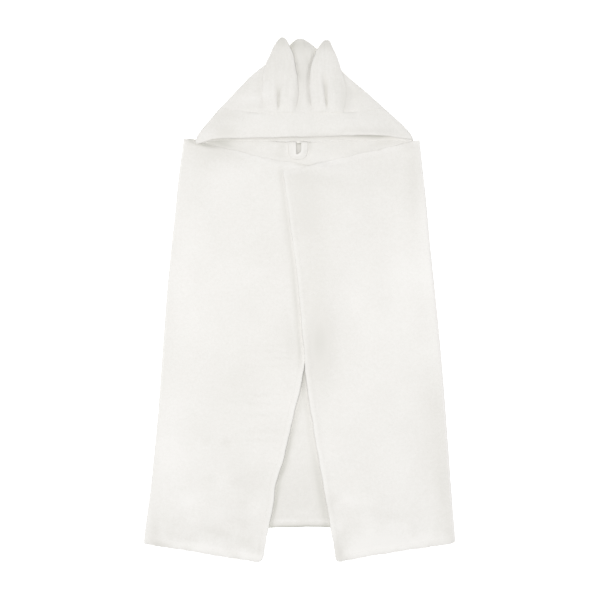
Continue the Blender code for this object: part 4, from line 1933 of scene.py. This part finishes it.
@dataclass(frozen=True)
class TerryFinish:
    """Cotton terry: short loops with small shadows between them, and light and shade painted from a value on
    each point.
    """

    name: str = "white_terry"
    colour: Colour = (0.945, 0.931, 0.905, 1.0)
    hollow: Colour = (0.826, 0.810, 0.773, 1.0)
    shade: Colour = (0.506, 0.507, 0.452, 1.0)
    loops_per_metre: float = 620.0
    tufts_per_metre: float = 620.0 / 3.3
    patches_per_metre: float = 55.0
    base: float = 0.50
    tuft_share: float = 0.45
    patch_share: float = 0.22
    nap_share: float = 0.62
    shade_slope: float = -0.34
    relief: float = 0.0007
    loop_height: float = 0.65  # share of the relief that is loops, and the rest tufts

    def material(self) -> bpy.types.Material:
        """Makes the material.

        Returns:
            The material.
        """
        shader = Shader(self.name)
        place = shader.place()
        loops = shader.noise(place, self.loops_per_metre, 3.0)
        tufts = shader.noise(place, self.tufts_per_metre, 1.0)
        patches = shader.noise(place, self.patches_per_metre)
        mottle_and_light = shader.painted("mottle_and_light")
        hollow = (0.5 - loops) + (0.5 - tufts) * self.tuft_share + (patches - 0.5) * self.patch_share
        hollow = hollow + self.base
        # share of the hollow colour: the loops' small shadows, with painted shade and light
        worn = shader.clamped(hollow - self.nap_share * mottle_and_light)
        # deep painted shade where the value is below -1
        deep = shader.clamped((mottle_and_light + 1.0) * self.shade_slope)
        height = loops * self.loop_height + tufts * (1.0 - self.loop_height)
        surface = shader.add(
            "ShaderNodeBsdfPrincipled",
            Base_Color=shader.blend(deep, shader.blend(worn, self.colour, self.hollow), self.shade),
            Roughness=0.95,
            Specular_IOR_Level=0.15,
            Sheen_Weight=0.15,
            Sheen_Roughness=0.6,
            Normal=shader.add("ShaderNodeBump", Strength=0.55, Distance=self.relief, Height=height),
        )
        return shader.finish(surface)


@dataclass(frozen=True)
class TapeFinish:
    """Cotton tape in a fine twill."""

    name: str = "white_tape"
    colour: Colour = (0.922, 0.905, 0.872, 1.0)
    shade: Colour = (0.84, 0.825, 0.79, 1.0)
    ribs_per_metre: float = 1250.0
    ribs_per_scale: float = 6.3  # that the wave texture makes in a metre at a scale of 1
    rib_shade: float = 0.35
    relief: float = 0.0002

    def material(self) -> bpy.types.Material:
        """Makes the material.

        Returns:
            The material.
        """
        shader = Shader(self.name)
        ribs = shader.add(
            "ShaderNodeTexWave",
            {"bands_direction": "DIAGONAL"},
            Vector=shader.place(),
            Scale=self.ribs_per_metre / self.ribs_per_scale,
            Distortion=0.6,
            Detail=1.0,
        )
        surface = shader.add(
            "ShaderNodeBsdfPrincipled",
            Base_Color=shader.blend(self.rib_shade * ribs, self.colour, self.shade),
            Roughness=0.8,
            Sheen_Weight=0.1,
            Normal=shader.add("ShaderNodeBump", Strength=0.4, Distance=self.relief, Height=ribs),
        )
        return shader.finish(surface)


# ---- Studio ----


@dataclass
class Studio:
    """A white floor, a soft lamp and a camera straight above."""

    view_width: float = 1.116  # at the cloth's height
    lens: float = 120.0
    sensor: float = 36.0
    camera_x: float = -0.0001
    floor_size: float = 14.0
    floor_z: float = -0.0003
    floor_colour: Colour = (0.92, 0.92, 0.92, 1.0)
    floor_glow: float = 0.50
    white: Colour = (1.0, 1.0, 1.0, 1.0)
    sky: float = 0.46
    lamp_power: float = 26.0
    lamp_place: tuple[float, float, float] = (-0.14, 0.0, 2.1)
    lamp_size: float = 0.9

    def build(self) -> None:
        """Makes the floor, the light and the camera."""
        self._floor()
        self._sky()
        self._lamp("softbox")
        self._camera()

    def _floor(self) -> None:
        """Lays a white floor that keeps the towel's shadow."""
        bpy.ops.object.select_all(action="DESELECT")
        bpy.ops.mesh.primitive_plane_add(size=self.floor_size, location=(0.0, 0.0, self.floor_z))
        floor = bpy.context.object
        floor.name = "floor"
        shader = Shader("floor_white")
        plain = shader.add("ShaderNodeBsdfDiffuse", Color=self.floor_colour)
        glow = shader.add("ShaderNodeEmission", Color=self.white, Strength=self.floor_glow)
        floor.data.materials.append(shader.finish(shader.add("ShaderNodeAddShader", None, plain, glow)))

    def _sky(self) -> None:
        """Lights the towel evenly in white from all round."""
        world = bpy.data.worlds.new("studio")
        world.use_nodes = True
        background = world.node_tree.nodes["Background"]
        background.inputs["Color"].default_value = self.white
        background.inputs["Strength"].default_value = self.sky
        bpy.context.scene.world = world

    def _lamp(self, name: str) -> None:
        """Hangs a square soft lamp that faces the middle of the towel.

        Args:
            name: the new lamp's name.
        """
        data = bpy.data.lights.new(name, "AREA")
        data.energy = self.lamp_power
        data.size = self.lamp_size
        lamp = bpy.data.objects.new(name, data)
        bpy.context.scene.collection.objects.link(lamp)
        lamp.location = self.lamp_place
        lamp.rotation_euler = (-Vector(self.lamp_place)).to_track_quat("-Z", "Y").to_euler()

    def _camera(self) -> None:
        """Sets a camera straight above the towel."""
        data = bpy.data.cameras.new("camera")
        data.lens = self.lens
        data.sensor_width = self.sensor
        camera = bpy.data.objects.new("camera", data)
        bpy.context.scene.collection.objects.link(camera)
        camera.location = (self.camera_x, 0.0, self.view_width * self.lens / self.sensor + CLOTH)
        bpy.context.scene.camera = camera


def main() -> None:
    """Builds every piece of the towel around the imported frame."""
    logging.basicConfig(level=logging.INFO, format="%(message)s")
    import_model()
    terry, tape = TerryFinish().material(), TapeFinish().material()
    Studio().build()
    towel = Towel()
    cloth, stitches = towel.lay(terry)
    hood = Hood(towel).lay(terry)
    loop = HangLoop().lay(tape, cloth)
    for piece in (cloth, stitches, *hood, loop):
        LOG.info("%s: %d faces", piece.name, len(piece.data.polygons))
    bpy.context.scene.view_settings.view_transform = "Standard"


if __name__ == "__main__":
    main()
